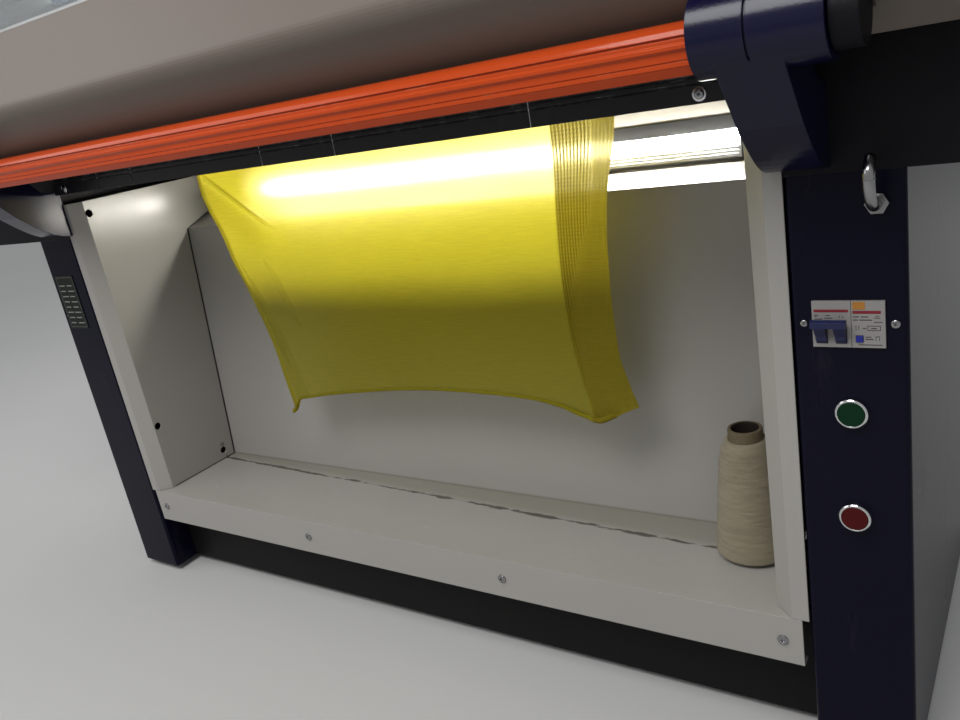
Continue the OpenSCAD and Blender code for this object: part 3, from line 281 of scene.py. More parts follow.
@functools.cache
def sheet_paint_group():
    """Sprayed paint: orange peel, faint mottle, smears, dust and specks on level faces."""
    group, w, given, out = new_group(
        "Sheet paint",
        {"Colour": (0.5, 0.5, 0.5, 1), "Dust colour": (0.19, 0.175, 0.15, 1),
         "Peel scale": 420.0, "Mottle": 0.08, "Dust": 0.4,
         "Roughness": 0.35, "Scuff": 0.3, "Specks": 0.0},
        ("Colour", "Roughness", "Height"),
    )
    coords = w.place()
    normal = w.add("ShaderNodeNewGeometry").outputs["Normal"]
    upward = w.axis(normal, "Z")
    peel = w.noise(coords, given["Peel scale"], 2.0)
    broad = w.noise(coords, 5.5, 4.0)
    grains = w.noise(coords, 95.0, 6.0, 0.7)
    level = w.spread(upward, 0.45, 0.95)
    dust = w.times(level, w.spread(grains, 0.42, 0.72), given["Dust"], clamp=True)
    shade = w.times(w.minus(broad, 0.5), given["Mottle"])
    toned = w.toned(given["Colour"], w.plus(1.0, shade))
    stretched = w.scaled(coords, 9.0, 9.0, 1.6)
    smear = w.spread(w.noise(stretched, 3.0, 5.0, 0.65), 0.60, 0.80)
    scuffed = w.times(smear, given["Scuff"], clamp=True)
    worn = w.blend(w.times(scuffed, 0.35), toned, given["Dust colour"])
    dusty = w.blend(dust, worn, given["Dust colour"])
    cells = w.add("ShaderNodeTexVoronoi", Vector=coords, Scale=17.0, Randomness=1.0)
    dots = w.spread(cells.outputs["Distance"], 0.026, 0.012)
    chosen = w.spread(w.axis(cells.outputs["Color"], "X"), 0.62, 0.64)
    marks = w.times(dots, chosen, w.times(level, given["Specks"]))
    w.feed(out, "Colour", w.blend(marks, dusty, (0.03, 0.026, 0.022, 1)))
    rough = w.plus(given["Roughness"], w.times(w.plus(dust, scuffed), 0.3))
    w.feed(out, "Roughness", rough)
    w.feed(out, "Height", w.plus(peel, w.times(grains, dust)))
    return group


@functools.cache
def edge_wear_group():
    """Finds the outer edges, where handling rubs the finish through; a high amount with a pale
    colour serves as a painted edge highlight.
    """
    group, w, given, out = new_group(
        "Edge wear", {"Radius": 0.0015, "Amount": 0.5}, ("Mask",),
    )
    coords = w.place()
    rounded = w.add("ShaderNodeBevel", {"samples": WEAR_SAMPLES},
                    Radius=given["Radius"]).outputs[0]
    normal = w.add("ShaderNodeNewGeometry").outputs["Normal"]
    edge = w.spread(w.dot(rounded, normal), 0.97, 0.80)
    patchy = w.spread(w.noise(coords, 60.0, 5.0, 0.7), 0.48, 0.66)
    w.feed(out, "Mask", w.times(edge, patchy, given["Amount"], clamp=True))
    return group


@functools.cache
def seam_grime_group():
    """Dirt in a broken, leaning line from left to right, and a painted shadow that darkens the
    floor behind it.
    """
    group, w, given, out = new_group(
        "Seam grime",
        {"Seam Y": 0.0, "Seam Z": 0.0, "Slope": -0.037, "Width": 0.0048,
         "Amount": 0.85},
        ("Mask", "Shade"),
    )
    coords = w.place()
    place = w.add("ShaderNodeSeparateXYZ", Vector=coords)
    line_y = w.plus(given["Seam Y"], w.times(place.outputs["X"], given["Slope"]))
    away_y = w.minus(place.outputs["Y"], line_y)
    away_z = w.minus(place.outputs["Z"], given["Seam Z"])
    squares = w.plus(w.times(away_y, away_y), w.times(away_z, away_z))
    drawn = w.scaled(coords, 1.0, 3.0, 3.0)
    patchy = w.noise(drawn, 11.0, 6.0, 0.7)
    reach = w.times(given["Width"], w.spread(patchy, 0.42, 0.62, 0.05, 1.5))
    near = w.spread(w.math("DIVIDE", w.math("SQRT", squares), reach), 1.0, 0.35)
    w.feed(out, "Mask", w.times(near, given["Amount"], clamp=True))
    # Shade: painted shadow on the floor between the dirt line and the back panel's foot
    behind = w.spread(away_y, -0.006, 0.016)
    low = w.spread(away_z, 0.004, 0.001)
    w.feed(out, "Shade", w.times(behind, low))
    return group


@functools.cache
def drawn_metal_group():
    """Fine lines along the length of a drawn or ground metal part, with faint tarnish."""
    group, w, given, out = new_group(
        "Drawn metal",
        {"Colour": (0.7, 0.7, 0.7, 1), "Line scale": 900.0, "Roughness": 0.3,
         "Tarnish": 0.15},
        ("Colour", "Roughness", "Height"),
    )
    coords = w.place()
    along = w.scaled(coords, 0.02, 1.0, 1.0)
    lines = w.noise(along, given["Line scale"], 2.0)
    blotch = w.spread(w.noise(coords, 14.0, 5.0, 0.65), 0.5, 0.8)
    stained = w.times(blotch, given["Tarnish"], clamp=True)
    w.feed(out, "Colour", w.blend(stained, given["Colour"], (0.24, 0.21, 0.18, 1)))
    rough = w.plus(given["Roughness"], w.times(w.minus(lines, 0.4), 0.25))
    w.feed(out, "Roughness", w.plus(rough, w.times(stained, 0.3)))
    w.feed(out, "Height", lines)
    return group


@functools.cache
def moulded_group():
    """Moulded plastic: fine spark texture and faint cloudiness."""
    group, w, given, out = new_group(
        "Moulded plastic",
        {"Colour": (0.1, 0.1, 0.1, 1), "Grain scale": 900.0, "Roughness": 0.4},
        ("Colour", "Roughness", "Height"),
    )
    coords = w.place()
    grain = w.noise(coords, given["Grain scale"], 2.0)
    cloud = w.noise(coords, 30.0, 3.0)
    w.feed(out, "Colour", w.toned(given["Colour"], w.plus(0.95, w.times(cloud, 0.1))))
    w.feed(out, "Roughness", w.plus(given["Roughness"], w.times(cloud, 0.1)))
    w.feed(out, "Height", grain)
    return group


@functools.cache
def knit_group():
    """Jersey stitches from the cloth's own width and length: rows of small V loops, their colour
    darker between the loops as painted shade.
    """
    group, w, given, out = new_group(
        "Knit stitches",
        {"Colour": (0.7, 0.6, 0.1, 1), "Wale": 0.0024, "Course": 0.0018,
         "Contrast": 0.3},
        ("Colour", "Height"),
    )
    uv = w.add("ShaderNodeUVMap").outputs[0]
    parts = w.add("ShaderNodeSeparateXYZ", Vector=uv)
    wobble = w.times(w.minus(w.noise(uv, 90.0, 2.0), 0.5), 0.0012)
    across = w.math("DIVIDE", w.plus(parts.outputs["X"], wobble), given["Wale"])
    down = w.math("DIVIDE", w.plus(parts.outputs["Y"], wobble), given["Course"])
    side = w.math("ABSOLUTE", w.minus(w.math("FRACT", across), 0.5))
    tilted = w.plus(down, w.times(side, 1.6))
    row = w.math("SINE", w.times(tilted, math.tau))
    column = w.math("SINE", w.times(side, math.tau))
    loops = w.times(w.plus(w.times(row, 0.5), 0.5), column)
    w.feed(out, "Height", loops)
    streak = w.scaled(uv, 1.0, 16.0, 1.0)
    uneven = w.spread(w.noise(streak, 26.0, 6.0, 0.72), 0.25, 0.75, -0.115, 0.115)
    # Painted shade: the colour darkens where the loops sit low, besides random streaks
    depth = w.plus(w.times(w.minus(loops, 0.32), given["Contrast"]), uneven)
    w.feed(out, "Colour", w.toned(given["Colour"], w.plus(1.0, depth)))
    return group


@functools.cache
def wound_yarn_group():
    """Yarn wound on a cone: fine strands that run nearly level, with soft waves between; the
    colour follows their relief as painted shade.
    """
    group, w, given, out = new_group(
        "Wound yarn",
        {"Colour": (0.7, 0.65, 0.5, 1), "Strand pitch": 0.0012},
        ("Colour", "Height"),
    )
    uv = w.add("ShaderNodeUVMap").outputs[0]
    parts = w.add("ShaderNodeSeparateXYZ", Vector=uv)
    flow = w.scaled(uv, 0.45, 1.0, 1.0)
    bend = w.times(w.minus(w.noise(flow, 45.0, 3.0), 0.5), 0.010)
    slant = w.plus(parts.outputs["Y"], w.times(parts.outputs["X"], 0.06))
    turns = w.math("DIVIDE", w.plus(slant, bend), given["Strand pitch"])
    crossed = w.math("SINE", w.times(turns, math.tau))
    waves = w.noise(w.scaled(uv, 0.22, 2.4, 1.0), 85.0, 6.0, 0.7)
    fuzz = w.noise(uv, 420.0, 4.0, 0.7)
    lift = w.plus(w.times(crossed, 0.35), w.times(waves, 1.3))
    w.feed(out, "Height", w.plus(lift, w.times(fuzz, 0.4)))
    # Painted shade: the colour follows the waves, strands and fuzz of the relief
    value = w.plus(w.spread(waves, 0.3, 0.7, 0.80, 1.04),
                   w.plus(w.times(crossed, 0.07), w.times(fuzz, 0.12)))
    w.feed(out, "Colour", w.toned(given["Colour"], value))
    return group


def rgba(colour):
    return (*colour[:3], 1.0)


def new_material(name, **values):
    material = bpy.data.materials.new(name)
    material.use_nodes = True
    material.node_tree.nodes.clear()
    w = Wiring(material.node_tree)
    surface = w.add("ShaderNodeBsdfPrincipled")
    for key, value in values.items():
        w.feed(surface, key.replace("_", " "), value)
    output = w.add("ShaderNodeOutputMaterial")
    w.feed(output, "0", surface.outputs[0])
    return material, w, surface


def place_group(w, maker, **inputs):
    return w.add("ShaderNodeGroup", {"node_tree": maker()}, **inputs).outputs


def bump(w, surface, height, distance, rounding=0.0):
    """Bumps the surface; rounding softens its folded edges by that radius."""
    node = w.add("ShaderNodeBump", Height=height, Distance=distance, Strength=1.0)
    if rounding:
        edge = w.add("ShaderNodeBevel", {"samples": ROUNDING_SAMPLES}, Radius=rounding)
        w.feed(node, "Normal", edge.outputs[0])
    w.feed(surface, "Normal", node.outputs[0])


# Height of the fine grain on metal and plastic
METAL_GRAIN, PLASTIC_GRAIN = 0.00002, 0.00003


def cover(w, surface, finish, distance, rounding):
    """Gives a surface the colour, roughness and height of a placed group."""
    w.feed(surface, "Base Color", finish["Colour"])
    w.feed(surface, "Roughness", finish["Roughness"])
    bump(w, surface, finish["Height"], distance, rounding)


def painted(name, colour, roughness=0.35, dust=0.3, scuff=0.3, wear_and_highlight=0.25, specks=0.0,
            bare=(0.30, 0.29, 0.28), peel=0.00004, rounding=0.0012, specular=0.4, seam=None):
    material, w, surface = new_material(name, Specular_IOR_Level=specular)
    paint = place_group(w, sheet_paint_group, Colour=rgba(colour), Dust=dust, Roughness=roughness,
                        Scuff=scuff, Specks=specks)
    edges = place_group(w, edge_wear_group, Radius=rounding, Amount=wear_and_highlight)
    colours = w.blend(edges["Mask"], paint["Colour"], rgba(bare))
    if seam:
        grime_and_shadow = place_group(w, seam_grime_group, Seam_Y=seam[0], Seam_Z=seam[1])
        # Painted shadow: the Shade mask darkens the tray floor towards olive behind the dirt line
        shadowed_floor = w.blend(w.times(grime_and_shadow["Shade"], 0.55), colours, (0.165, 0.16, 0.115, 1))
        colours = w.blend(grime_and_shadow["Mask"], shadowed_floor, (0.045, 0.038, 0.028, 1))
    cover(w, surface, paint, peel, rounding)
    w.feed(surface, "Base Color", colours)
    return material


def metal(name, colour, roughness=0.3, lines=900.0, tarnish=0.15, rounding=0.0008):
    material, w, surface = new_material(name, Metallic=1.0)
    drawn = place_group(w, drawn_metal_group, Colour=rgba(colour), Roughness=roughness,
                        Line_scale=lines, Tarnish=tarnish)
    cover(w, surface, drawn, METAL_GRAIN, rounding)
    return material


def plastic(name, colour, roughness=0.4, coat=0.0, rounding=0.0006, specular=0.4):
    material, w, surface = new_material(name, Coat_Weight=coat, Coat_Roughness=0.08,
                                        Specular_IOR_Level=specular)
    body = place_group(w, moulded_group, Colour=rgba(colour), Roughness=roughness)
    cover(w, surface, body, PLASTIC_GRAIN, rounding)
    return material


def dress(material, *names):
    """Gives CAD nodes their finish."""
    for name in names:
        slots = NODES[name].data.materials
        slots.clear()
        slots.append(material)


def add_object(name, data):
    thing = bpy.data.objects.new(name, data)
    bpy.context.scene.collection.objects.link(thing)
    return thing


def mesh_piece(name, verts, faces, material, body="frame", slot=None, smooth=True, uvs=None):
    """A new piece from points and faces, riding on a body."""
    mesh = bpy.data.meshes.new(name)
    mesh.from_pydata([tuple(v) for v in verts], [], faces)
    if uvs:
        layer = mesh.uv_layers.new(name="UVMap")
        for loop in mesh.loops:
            layer.data[loop.index].uv = uvs[loop.vertex_index]
    mesh.validate()
    mesh.materials.append(material)
    for polygon in mesh.polygons:
        polygon.use_smooth = smooth
    piece = add_object(name, mesh)
    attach(piece, body)
    return piece


def lathe(profile, segments, place, forward=False, closed=False):
    """Points, faces and UVs of a turned shape; profile is (radius, height) from bottom to top.

    forward lays its axis to the front; closed joins the profile into a ring.
    """
    verts, faces, uvs = [], [], []
    length = 0.0
    for row, (radius, height) in enumerate(profile):
        if row:
            length += math.dist(profile[row - 1], profile[row])
        for k in range(segments + 1):
            angle = math.tau * k / segments
            local = Vector((radius * math.cos(angle), radius * math.sin(angle), height))
            if forward:
                local = Vector((local.x, -local.z, local.y))
            verts.append(Vector(place) + local)
            uvs.append((angle * profile[len(profile) // 2][0], length))
    wide = segments + 1
    for row in range(len(profile) - 1):
        for k in range(segments):
            a = row * wide + k
            faces.append((a, a + 1, a + 1 + wide, a + wide))
    if not closed:
        faces.append(tuple(range(segments - 1, -1, -1)))
        last = (len(profile) - 1) * wide
        faces.append(tuple(range(last, last + segments)))
    return verts, faces, uvs


def slabs(name, boxes, material, body="frame", slot=None, bevel=0.0004, turn=None):
    """One piece of thin bevelled slabs, each between two corners; turn places them."""
    mesh = bmesh.new()
    for low, high in boxes:
        size = Vector(high) - Vector(low)
        middle = (Vector(high) + Vector(low)) / 2
        made = bmesh.ops.create_cube(mesh, size=1.0)["verts"]
        for vert in made:
            vert.co = Vector((vert.co.x * size.x, vert.co.y * size.y, vert.co.z * size.z)) + middle
        edges = {edge for vert in made for edge in vert.link_edges}
        bmesh.ops.bevel(mesh, geom=list(edges), offset=min(bevel, min(size) * 0.4), segments=2,
                        profile=0.6, affect="EDGES")
    verts = [turn @ v.co if turn else v.co.copy() for v in mesh.verts]
    faces = [[v.index for v in f.verts] for f in mesh.faces]
    mesh.free()
    return mesh_piece(name, verts, faces, material, body, slot, smooth=False)


def screw_head(name, place, radius, material, washer=0.0, ring=None):
    """Pan-head screw facing the front, its cross recess shown as a painted shade of two thin dark
    slabs, with an optional washer under it.
    """
    height = radius * 0.5
    if washer:
        rim = [(washer * 0.985, 0.0), (washer, radius * 0.08), (washer * 0.97, radius * 0.16),
               (radius * 0.9, radius * 0.17)]
        mesh_piece(name + "_washer", *lathe(rim, 40, place, True)[:2], ring, slot="chrome")
    rings = [(radius * 0.98, 0.0), (radius, height * 0.35), (radius * 0.93, height * 0.65),
             (radius * 0.75, height * 0.9), (radius * 0.45, height)]
    mesh_piece(name, *lathe(rings, 32, place, True)[:2], material, slot="chrome")
    front = Matrix.Translation(Vector(place) + Vector((0, -height, 0)))
    arm = [((-radius * 0.42, -0.00018, -radius * 0.085), (radius * 0.42, 0.0005, radius * 0.085))]
    for label, angle in (("a", 0.5), ("b", 0.5 + math.pi / 2)):
        slabs(name + "_cross_shade_" + label, arm, dark_recess(), slot="dark_plastic", bevel=0.0001,
              turn=front @ Matrix.Rotation(angle, 4, "Y"))


# Dark material for painted shade: the screws' cross recesses and the gaps at the walls' joints
def dark_recess():
    made = bpy.data.materials.get("Dark recess")
    return made or plastic("Dark recess", (0.012, 0.012, 0.013), 0.6)


# Place, diameter in metres and power in watts of the soft lights
LIGHTS = (
    ("ceiling light", (0.1, -1.7, 2.7), 1.6, 60),
    ("side light", (-2.4, -1.6, 2.2), 1.6, 12),
    ("back light", (0.4, 2.4, 2.6), 2.2, 34),
)
LIGHTS_AIM = Vector((0, 0, 0.6))
ROOM_STRENGTH, BACKDROP_STRENGTH = 0.74, 0.50
FLOOR_REACH = 14.0
SENSOR_WIDTH = 36.0
NEAR_CLIP = 0.05


class KNITTER_OT_stage(bpy.types.Operator):
    """Sets the floor, the soft studio light and the camera"""

    bl_idname = "knitter.stage"
    bl_label = "Stage"

    def execute(self, context):
        settings = context.scene.knitter_stage
        context.scene.view_settings.view_transform = "Standard"
        self.lay_floor()
        self.light_world(context)
        for light in LIGHTS:
            self.soft_light(*light)
        data = bpy.data.cameras.new("camera")
        data.sensor_width = SENSOR_WIDTH
        data.lens = settings.lens
        data.clip_start = NEAR_CLIP
        camera = add_object("camera", data)
        camera.location = settings.camera_place
        camera.rotation_euler = settings.camera_turn
        context.scene.camera = camera
        return {"FINISHED"}

    def lay_floor(self):
        material, w, surface = new_material("Studio floor", Roughness=0.85)
        cloud = w.noise(w.place(), 0.8, 3.0)
        w.feed(surface, "Base Color", w.blend(cloud, (0.40, 0.395, 0.385, 1),
                                              (0.44, 0.435, 0.425, 1)))
        mesh = bpy.data.meshes.new("floor")
        corners = [(x * FLOOR_REACH, y * FLOOR_REACH, 0)
                   for x, y in ((-1, -1), (1, -1), (1, 1), (-1, 1))]
        mesh.from_pydata(corners, [], [(0, 1, 2, 3)])
        mesh.materials.append(material)
        floor = add_object("floor", mesh)

    def light_world(self, context):
        world = bpy.data.worlds.new("studio")
        context.scene.world = world
        world.use_nodes = True
        world.node_tree.nodes.clear()
        w = Wiring(world.node_tree)
        rays = w.add("ShaderNodeLightPath").outputs
        seen = w.math("MAXIMUM", rays["Is Camera Ray"], rays["Is Glossy Ray"])
        seen = w.math("MAXIMUM", seen, rays["Is Transmission Ray"])
        room = w.add("ShaderNodeBackground", Color=(0.80, 0.82, 0.85, 1), Strength=ROOM_STRENGTH)
        backdrop = w.add("ShaderNodeBackground", Color=(0.80, 0.80, 0.79, 1),
                         Strength=BACKDROP_STRENGTH)
        mix = w.mixed(seen, room.outputs[0], backdrop.outputs[0])
        w.add("ShaderNodeOutputWorld", Surface=mix)

    def soft_light(self, name, place, size, power):
        data = bpy.data.lights.new(name, "AREA")
        data.shape = "DISK"
        data.size = size
        data.energy = power
        light = add_object(name, data)
        light.location = place
        aim = LIGHTS_AIM - Vector(place)
        light.rotation_euler = aim.to_track_quat("-Z", "Y").to_euler()


class KNITTER_OT_casings(bpy.types.Operator):
    """Paints the cabinets, tray, covers and stand"""

    bl_idname = "knitter.casings"
    bl_label = "Casings"

    def execute(self, context):
        paint = context.scene.knitter_paint
        navy = painted("Navy paint", paint.navy, 0.27, dust=0.15, scuff=0.15, wear_and_highlight=0.25,
                       specular=0.10, bare=(0.06, 0.06, 0.08))
        gloss = painted("Navy gloss", paint.bracket, 0.20, dust=0.05, scuff=0.05, wear_and_highlight=0.2,
                        specular=0.27, bare=(0.06, 0.06, 0.10), peel=0.00008)
        cream = painted("Cream paint", paint.cream, 0.24, dust=0.08, scuff=0.15, wear_and_highlight=0.12,
                        specks=0.9, bare=(0.17, 0.155, 0.13), peel=0.00007, seam=TRAY_SEAM)
        beige = painted("Beige paint", paint.beige, 0.40, dust=0.3, scuff=0.25, wear_and_highlight=0.2,
                        bare=(0.21, 0.195, 0.175))
        black = painted("Black paint", (0.0065, 0.0065, 0.0065), 0.5, dust=0.15, scuff=0.12,
                        wear_and_highlight=0.15, bare=(0.07, 0.07, 0.07), specular=0.12)
        cast = painted("Cast frame paint", (0.0055, 0.0055, 0.0075), 0.5, dust=0.2, scuff=0.1,
                       wear_and_highlight=0.2, bare=(0.06, 0.06, 0.06), peel=0.00018, specular=0.12)
        dress(navy, "left_leg", "right_leg")
        dress(gloss, "left_bar_bracket", "right_bar_bracket")
        dress(cream, "fabric_tray", "side_panels", "tray_back_panel", "yarn_stand", "yarn_table")
        dress(beige, "front_cover", "rear_cover", "left_end_cover", "right_end_cover")
        dress(black, "cross_panels", "drive_motor")
        dress(cast, "left_bed_end", "right_bed_end", "front_beam", "rear_beam")
        return {"FINISHED"}


class KNITTER_OT_metals(bpy.types.Operator):
    """Finishes the bare, plated and anodised metal parts"""

    bl_idname = "knitter.metals"
    bl_label = "Metals"

    def execute(self, context):
        aluminium = metal("Aluminium", (0.62, 0.63, 0.64), 0.32, tarnish=0.1)
        steel = metal("Ground steel", (0.46, 0.46, 0.47), 0.28, tarnish=0.2)
        chrome = metal("Chrome", (0.66, 0.67, 0.68), 0.12, lines=500.0, tarnish=0.08)
        dark_steel = metal("Screw steel", (0.32, 0.32, 0.33), 0.16, lines=500.0, tarnish=0.2)
        # Painted highlight: the rail's strong edge mask with a pale colour stands in for light
        # along its edges, besides real wear
        anodised = painted("Black anodised", (0.0075, 0.0075, 0.009), 0.30, dust=0.15, scuff=0.15,
                           wear_and_highlight=0.9, bare=(0.34, 0.34, 0.35), peel=0.00001, specular=0.3)
        grey = painted("Grey metal paint", (0.10, 0.104, 0.115), 0.4, dust=0.2, scuff=0.2)
        blue = painted("Feeder paint", (0.030, 0.075, 0.20), 0.35, dust=0.15, scuff=0.15)
        dress(aluminium, "lamp_housing", "hood_beam", "feeder_rails", "carriage_bridge",
              "drive_pulley", "idler_pulley", "thread_bar")
        dress(steel, "levelling_feet", "front_needle_bed", "rear_needle_bed", "front_needles",
              "rear_needles")
        dress(chrome, "guide_rods", "button_bezels")
        dress(dark_steel, "tray_screws", "cone_hook")
        dress(anodised, "front_rail")
        dress(grey, "end_brackets", "front_cam_box", "rear_cam_box", "screen_arm")
        dress(blue, "front_feeder", "middle_feeder", "rear_feeder")
        return {"FINISHED"}


class KNITTER_OT_plastics(bpy.types.Operator):
    """Finishes the moulded, rubber and clear parts"""

    bl_idname = "knitter.plastics"
    bl_label = "Plastics"

    def execute(self, context):
        rubber = plastic("Rubber", (0.018, 0.018, 0.018), 0.75)
        dark = plastic("Dark plastic", (0.024, 0.024, 0.027), 0.45)
        dress(rubber, "takedown_roller", "pinch_roller", "drive_belt")
        dress(dark, "tower_lamp", "control_screen")
        dress(plastic("Breaker plastic", (0.225, 0.213, 0.203), 0.42), "breaker_body")
        dress(plastic("Toggle plastic", (0.006, 0.009, 0.050), 0.3), "breaker_toggle")
        dress(plastic("Blue button", (0.006, 0.012, 0.20), 0.35), "breaker_test_button")
        dress(plastic("Green cap", (0.0, 0.020, 0.006), 0.35, specular=0.14), "start_button")
        dress(plastic("Red cap", (0.054, 0.0022, 0.0026), 0.35, specular=0.14), "stop_button")
        dress(plastic("Stop mushroom", (0.32, 0.012, 0.008), 0.3, coat=0.4), "e_stop_button")
        clear, w, surface = new_material("Acrylic", Base_Color=(0.86, 0.92, 0.93, 1), IOR=1.49,
                                         Transmission_Weight=0.92)
        smear = w.noise(w.place(), 7.0, 5.0, 0.7)
        w.feed(surface, "Roughness", w.spread(smear, 0.4, 0.9, 0.02, 0.16))
        dress(clear, "left_window", "right_window")
        return {"FINISHED"}


class KNITTER_OT_lamp(bpy.types.Operator):
    """Lights the tray lamp's tube"""

    bl_idname = "knitter.lamp"
    bl_label = "Tray lamp"

    def execute(self, context):
        glow = context.scene.knitter_stage.lamp_glow
        material, w, surface = new_material("Lamp tube", Base_Color=(0.9, 0.88, 0.84, 1),
                                            Roughness=0.5, Emission_Strength=glow)
        faint = w.noise(w.place(), 12.0, 2.0)
        w.feed(surface, "Emission Color", w.blend(faint, (1.0, 0.955, 0.86, 1),
                                                  (1.0, 0.975, 0.90, 1)))
        dress(material, "lamp_diffuser")
        return {"FINISHED"}


class KNITTER_OT_start_bar(bpy.types.Operator):
    """Paints the start bar"""

    bl_idname = "knitter.start_bar"
    bl_label = "Start bar"

    def execute(self, context):
        orange = painted("Orange paint", context.scene.knitter_paint.orange, 0.12, dust=0.03,
                         scuff=0.1, wear_and_highlight=0.6, bare=(0.60, 0.24, 0.13), peel=0.00002,
                         rounding=0.0007, specular=0.20)
        dress(orange, "start_bar")
        return {"FINISHED"}


class KNITTER_OT_fixings(bpy.types.Operator):
    """Adds the screws, the strips in the rail's joints, and the painted gap shadows in the walls'
    joints
    """

    bl_idname = "knitter.fixings"
    bl_label = "Fixings"

    def execute(self, context):
        chrome, steel, aluminium = (bpy.data.materials[name]
                                    for name in ("Chrome", "Screw steel", "Aluminium"))
        for side, label in ((-1, "left"), (1, "right")):
            screw_head("rail_screw_" + label, (side * RAIL_SCREW_X, RAIL_LOW.y, RAIL_SCREW_Z),
                       RAIL_SCREW_RADIUS, steel, washer=WASHER_RADIUS, ring=chrome)
        for side, radius, label in zip((-1, 1), BREAKER_SCREW_RADII, ("left", "right")):
            place = (LEG_MIDDLE + side * BREAKER_SCREW_X, LEG_LOW.y, BREAKER_MIDDLE)
            screw_head("breaker_screw_" + label, place, radius, steel)
        for index, x in enumerate(RAIL_JOINTS):
            right = x * MM - 0.0002
            strip = ((right - 0.0011, RAIL_LOW.y + 0.0006, RAIL_LOW.z + 0.0004),
                     (right, RAIL_HIGH.y - 0.001, RAIL_HIGH.z - 0.0004))
            slabs("rail_joint_%d" % (index + 1), [strip], aluminium, slot="aluminium",
                  bevel=0.0001)
        self.wall_joints()
        return {"FINISHED"}

    def wall_joints(self):
        """Painted gap shadows: thin dark strips where each side wall meets the leaning back panel
        and the tray floor.
        """
        rise = WALL_TOP - WALL_FOOT
        lean = Matrix.Rotation(-math.atan2(rise.y, rise.z), 4, "X")
        for side, label in ((-1, "left"), (1, "right")):
            low, high = sorted((side * WALL_X, side * (WALL_X - WALL_SKIN)))
            place = Matrix.Translation(WALL_FOOT)
            slabs("wall_gap_shadow_" + label, [((low, -WALL_GAP_SHADOW, 0.0), (high, 0.0, rise.length))],
                  dark_recess(), slot="dark_plastic", bevel=0.0001, turn=place @ lean)
            slabs("wall_foot_gap_shadow_" + label, [((low, *FLOOR_GAP_SHADOW[0]), (high, *FLOOR_GAP_SHADOW[1]))],
                  dark_recess(), slot="dark_plastic", bevel=0.0001)


# Width and height of the breaker's face in millimetres
BREAKER_FACE = (63, 45)
# Prints of the breaker's face: name, colour, and left, low, right and high of each bar in
# millimetres from the face's lower left corner
BREAKER_PRINTS = (
    ("breaker_red_stripes", (0.165, 0.006, 0.012), (
     (1.7, 34.4, 32, 36.9), (35.7, 33, 59.5, 35.7))),
    ("breaker_orange_block", (0.33, 0.14, 0.018), ((35.7, 37, 46.4, 44.2),)),
    ("breaker_grey_marks", (0.02, 0.019, 0.02), (
     (2, 31.4, 6, 31.9), (2, 30, 4.6, 30.5), (2, 27.4, 9, 27.9), (2, 26, 8, 26.5),
     (12, 31, 16, 31.5), (11, 28.4, 18, 28.9), (24, 29, 24.5, 31), (27, 28.6, 27.5, 30.6),
     (13, 26.4, 16, 26.9), (24, 26.2, 29, 26.7), (36, 29.6, 41, 30.3), (42.6, 29.6, 49, 30.3),
     (36, 26.6, 40, 27.3), (41.4, 26.6, 52, 27.3), (53.6, 24.6, 60.6, 25.1),
     (53.6, 28.6, 59, 29), (55, 30.4, 58, 30.8), (38, 17, 38.5, 21.4), (40.4, 17, 40.9, 21.4),
     (44, 18.6, 47, 19.2), (48, 16.8, 59, 17.2), (48, 21, 59, 21.4), (48, 16.8, 48.4, 21.4),
     (58.6, 16.8, 59, 21.4), (51, 18.6, 56, 19.2), (46, 8, 52.6, 8.7), (46, 10.2, 51, 10.8),
     (54.6, 7, 55, 11), (57.6, 7, 58, 11), (54.6, 10.8, 58, 11.2), (40, 2.6, 60, 3.2))),
)


class KNITTER_OT_plates(bpy.types.Operator):
    """Adds the left cabinet's plate and the plain stripes and marks on the breaker's face"""

    bl_idname = "knitter.plates"
    bl_label = "Plates and stripes"

    def execute(self, context):
        front = LEG_LOW.y
        plate = metal("Plate metal", (0.030, 0.034, 0.030), 0.45, tarnish=0.3)
        pale = plastic("Pale print", (0.17, 0.175, 0.15), 0.5)
        slabs("info_plate", [((-0.680, front - 0.0012, 0.499), (-0.624, front, 0.597))], plate,
              slot="aluminium")
        lines = [((-0.677, 0.502), (-0.6765, 0.594)), ((-0.6275, 0.502), (-0.627, 0.594)),
                 ((-0.677, 0.502), (-0.627, 0.5025)), ((-0.677, 0.5935), (-0.627, 0.594))]
        for k in range(8):
            level = 0.509 + k * 0.0098
            lines.append(((-0.673, level), (-0.658 + 0.002 * (k % 3), level + 0.0022)))
            lines.append(((-0.650, level), (-0.631 - 0.003 * (k % 2), level + 0.0022)))
        boxes = [((a[0], front - 0.00135, a[1]), (b[0], front - 0.0011, b[1])) for a, b in lines]
        slabs("info_plate_lines", boxes, pale, slot="aluminium", bevel=0.00005)
        self.print_breaker()
        return {"FINISHED"}

    def print_breaker(self):
        """Stripes, a block and small bars on the breaker's face."""
        wide, tall = BREAKER_FACE
        corner = (LEG_MIDDLE - wide / 2 * MM, BREAKER_MIDDLE - tall / 2 * MM)
        face = BREAKER_LOW.y
        for name, colour, bars in BREAKER_PRINTS:
            ink = plastic(name.replace("_", " ").capitalize(), colour, 0.5)
            boxes = [((corner[0] + a * MM, face - 0.00012, corner[1] + b * MM - 0.0001),
                      (corner[0] + c * MM, face + 0.00010, corner[1] + d * MM + 0.0001))
                     for a, b, c, d in bars]
            slabs(name, boxes, ink, slot="white_plastic", bevel=0.00003)


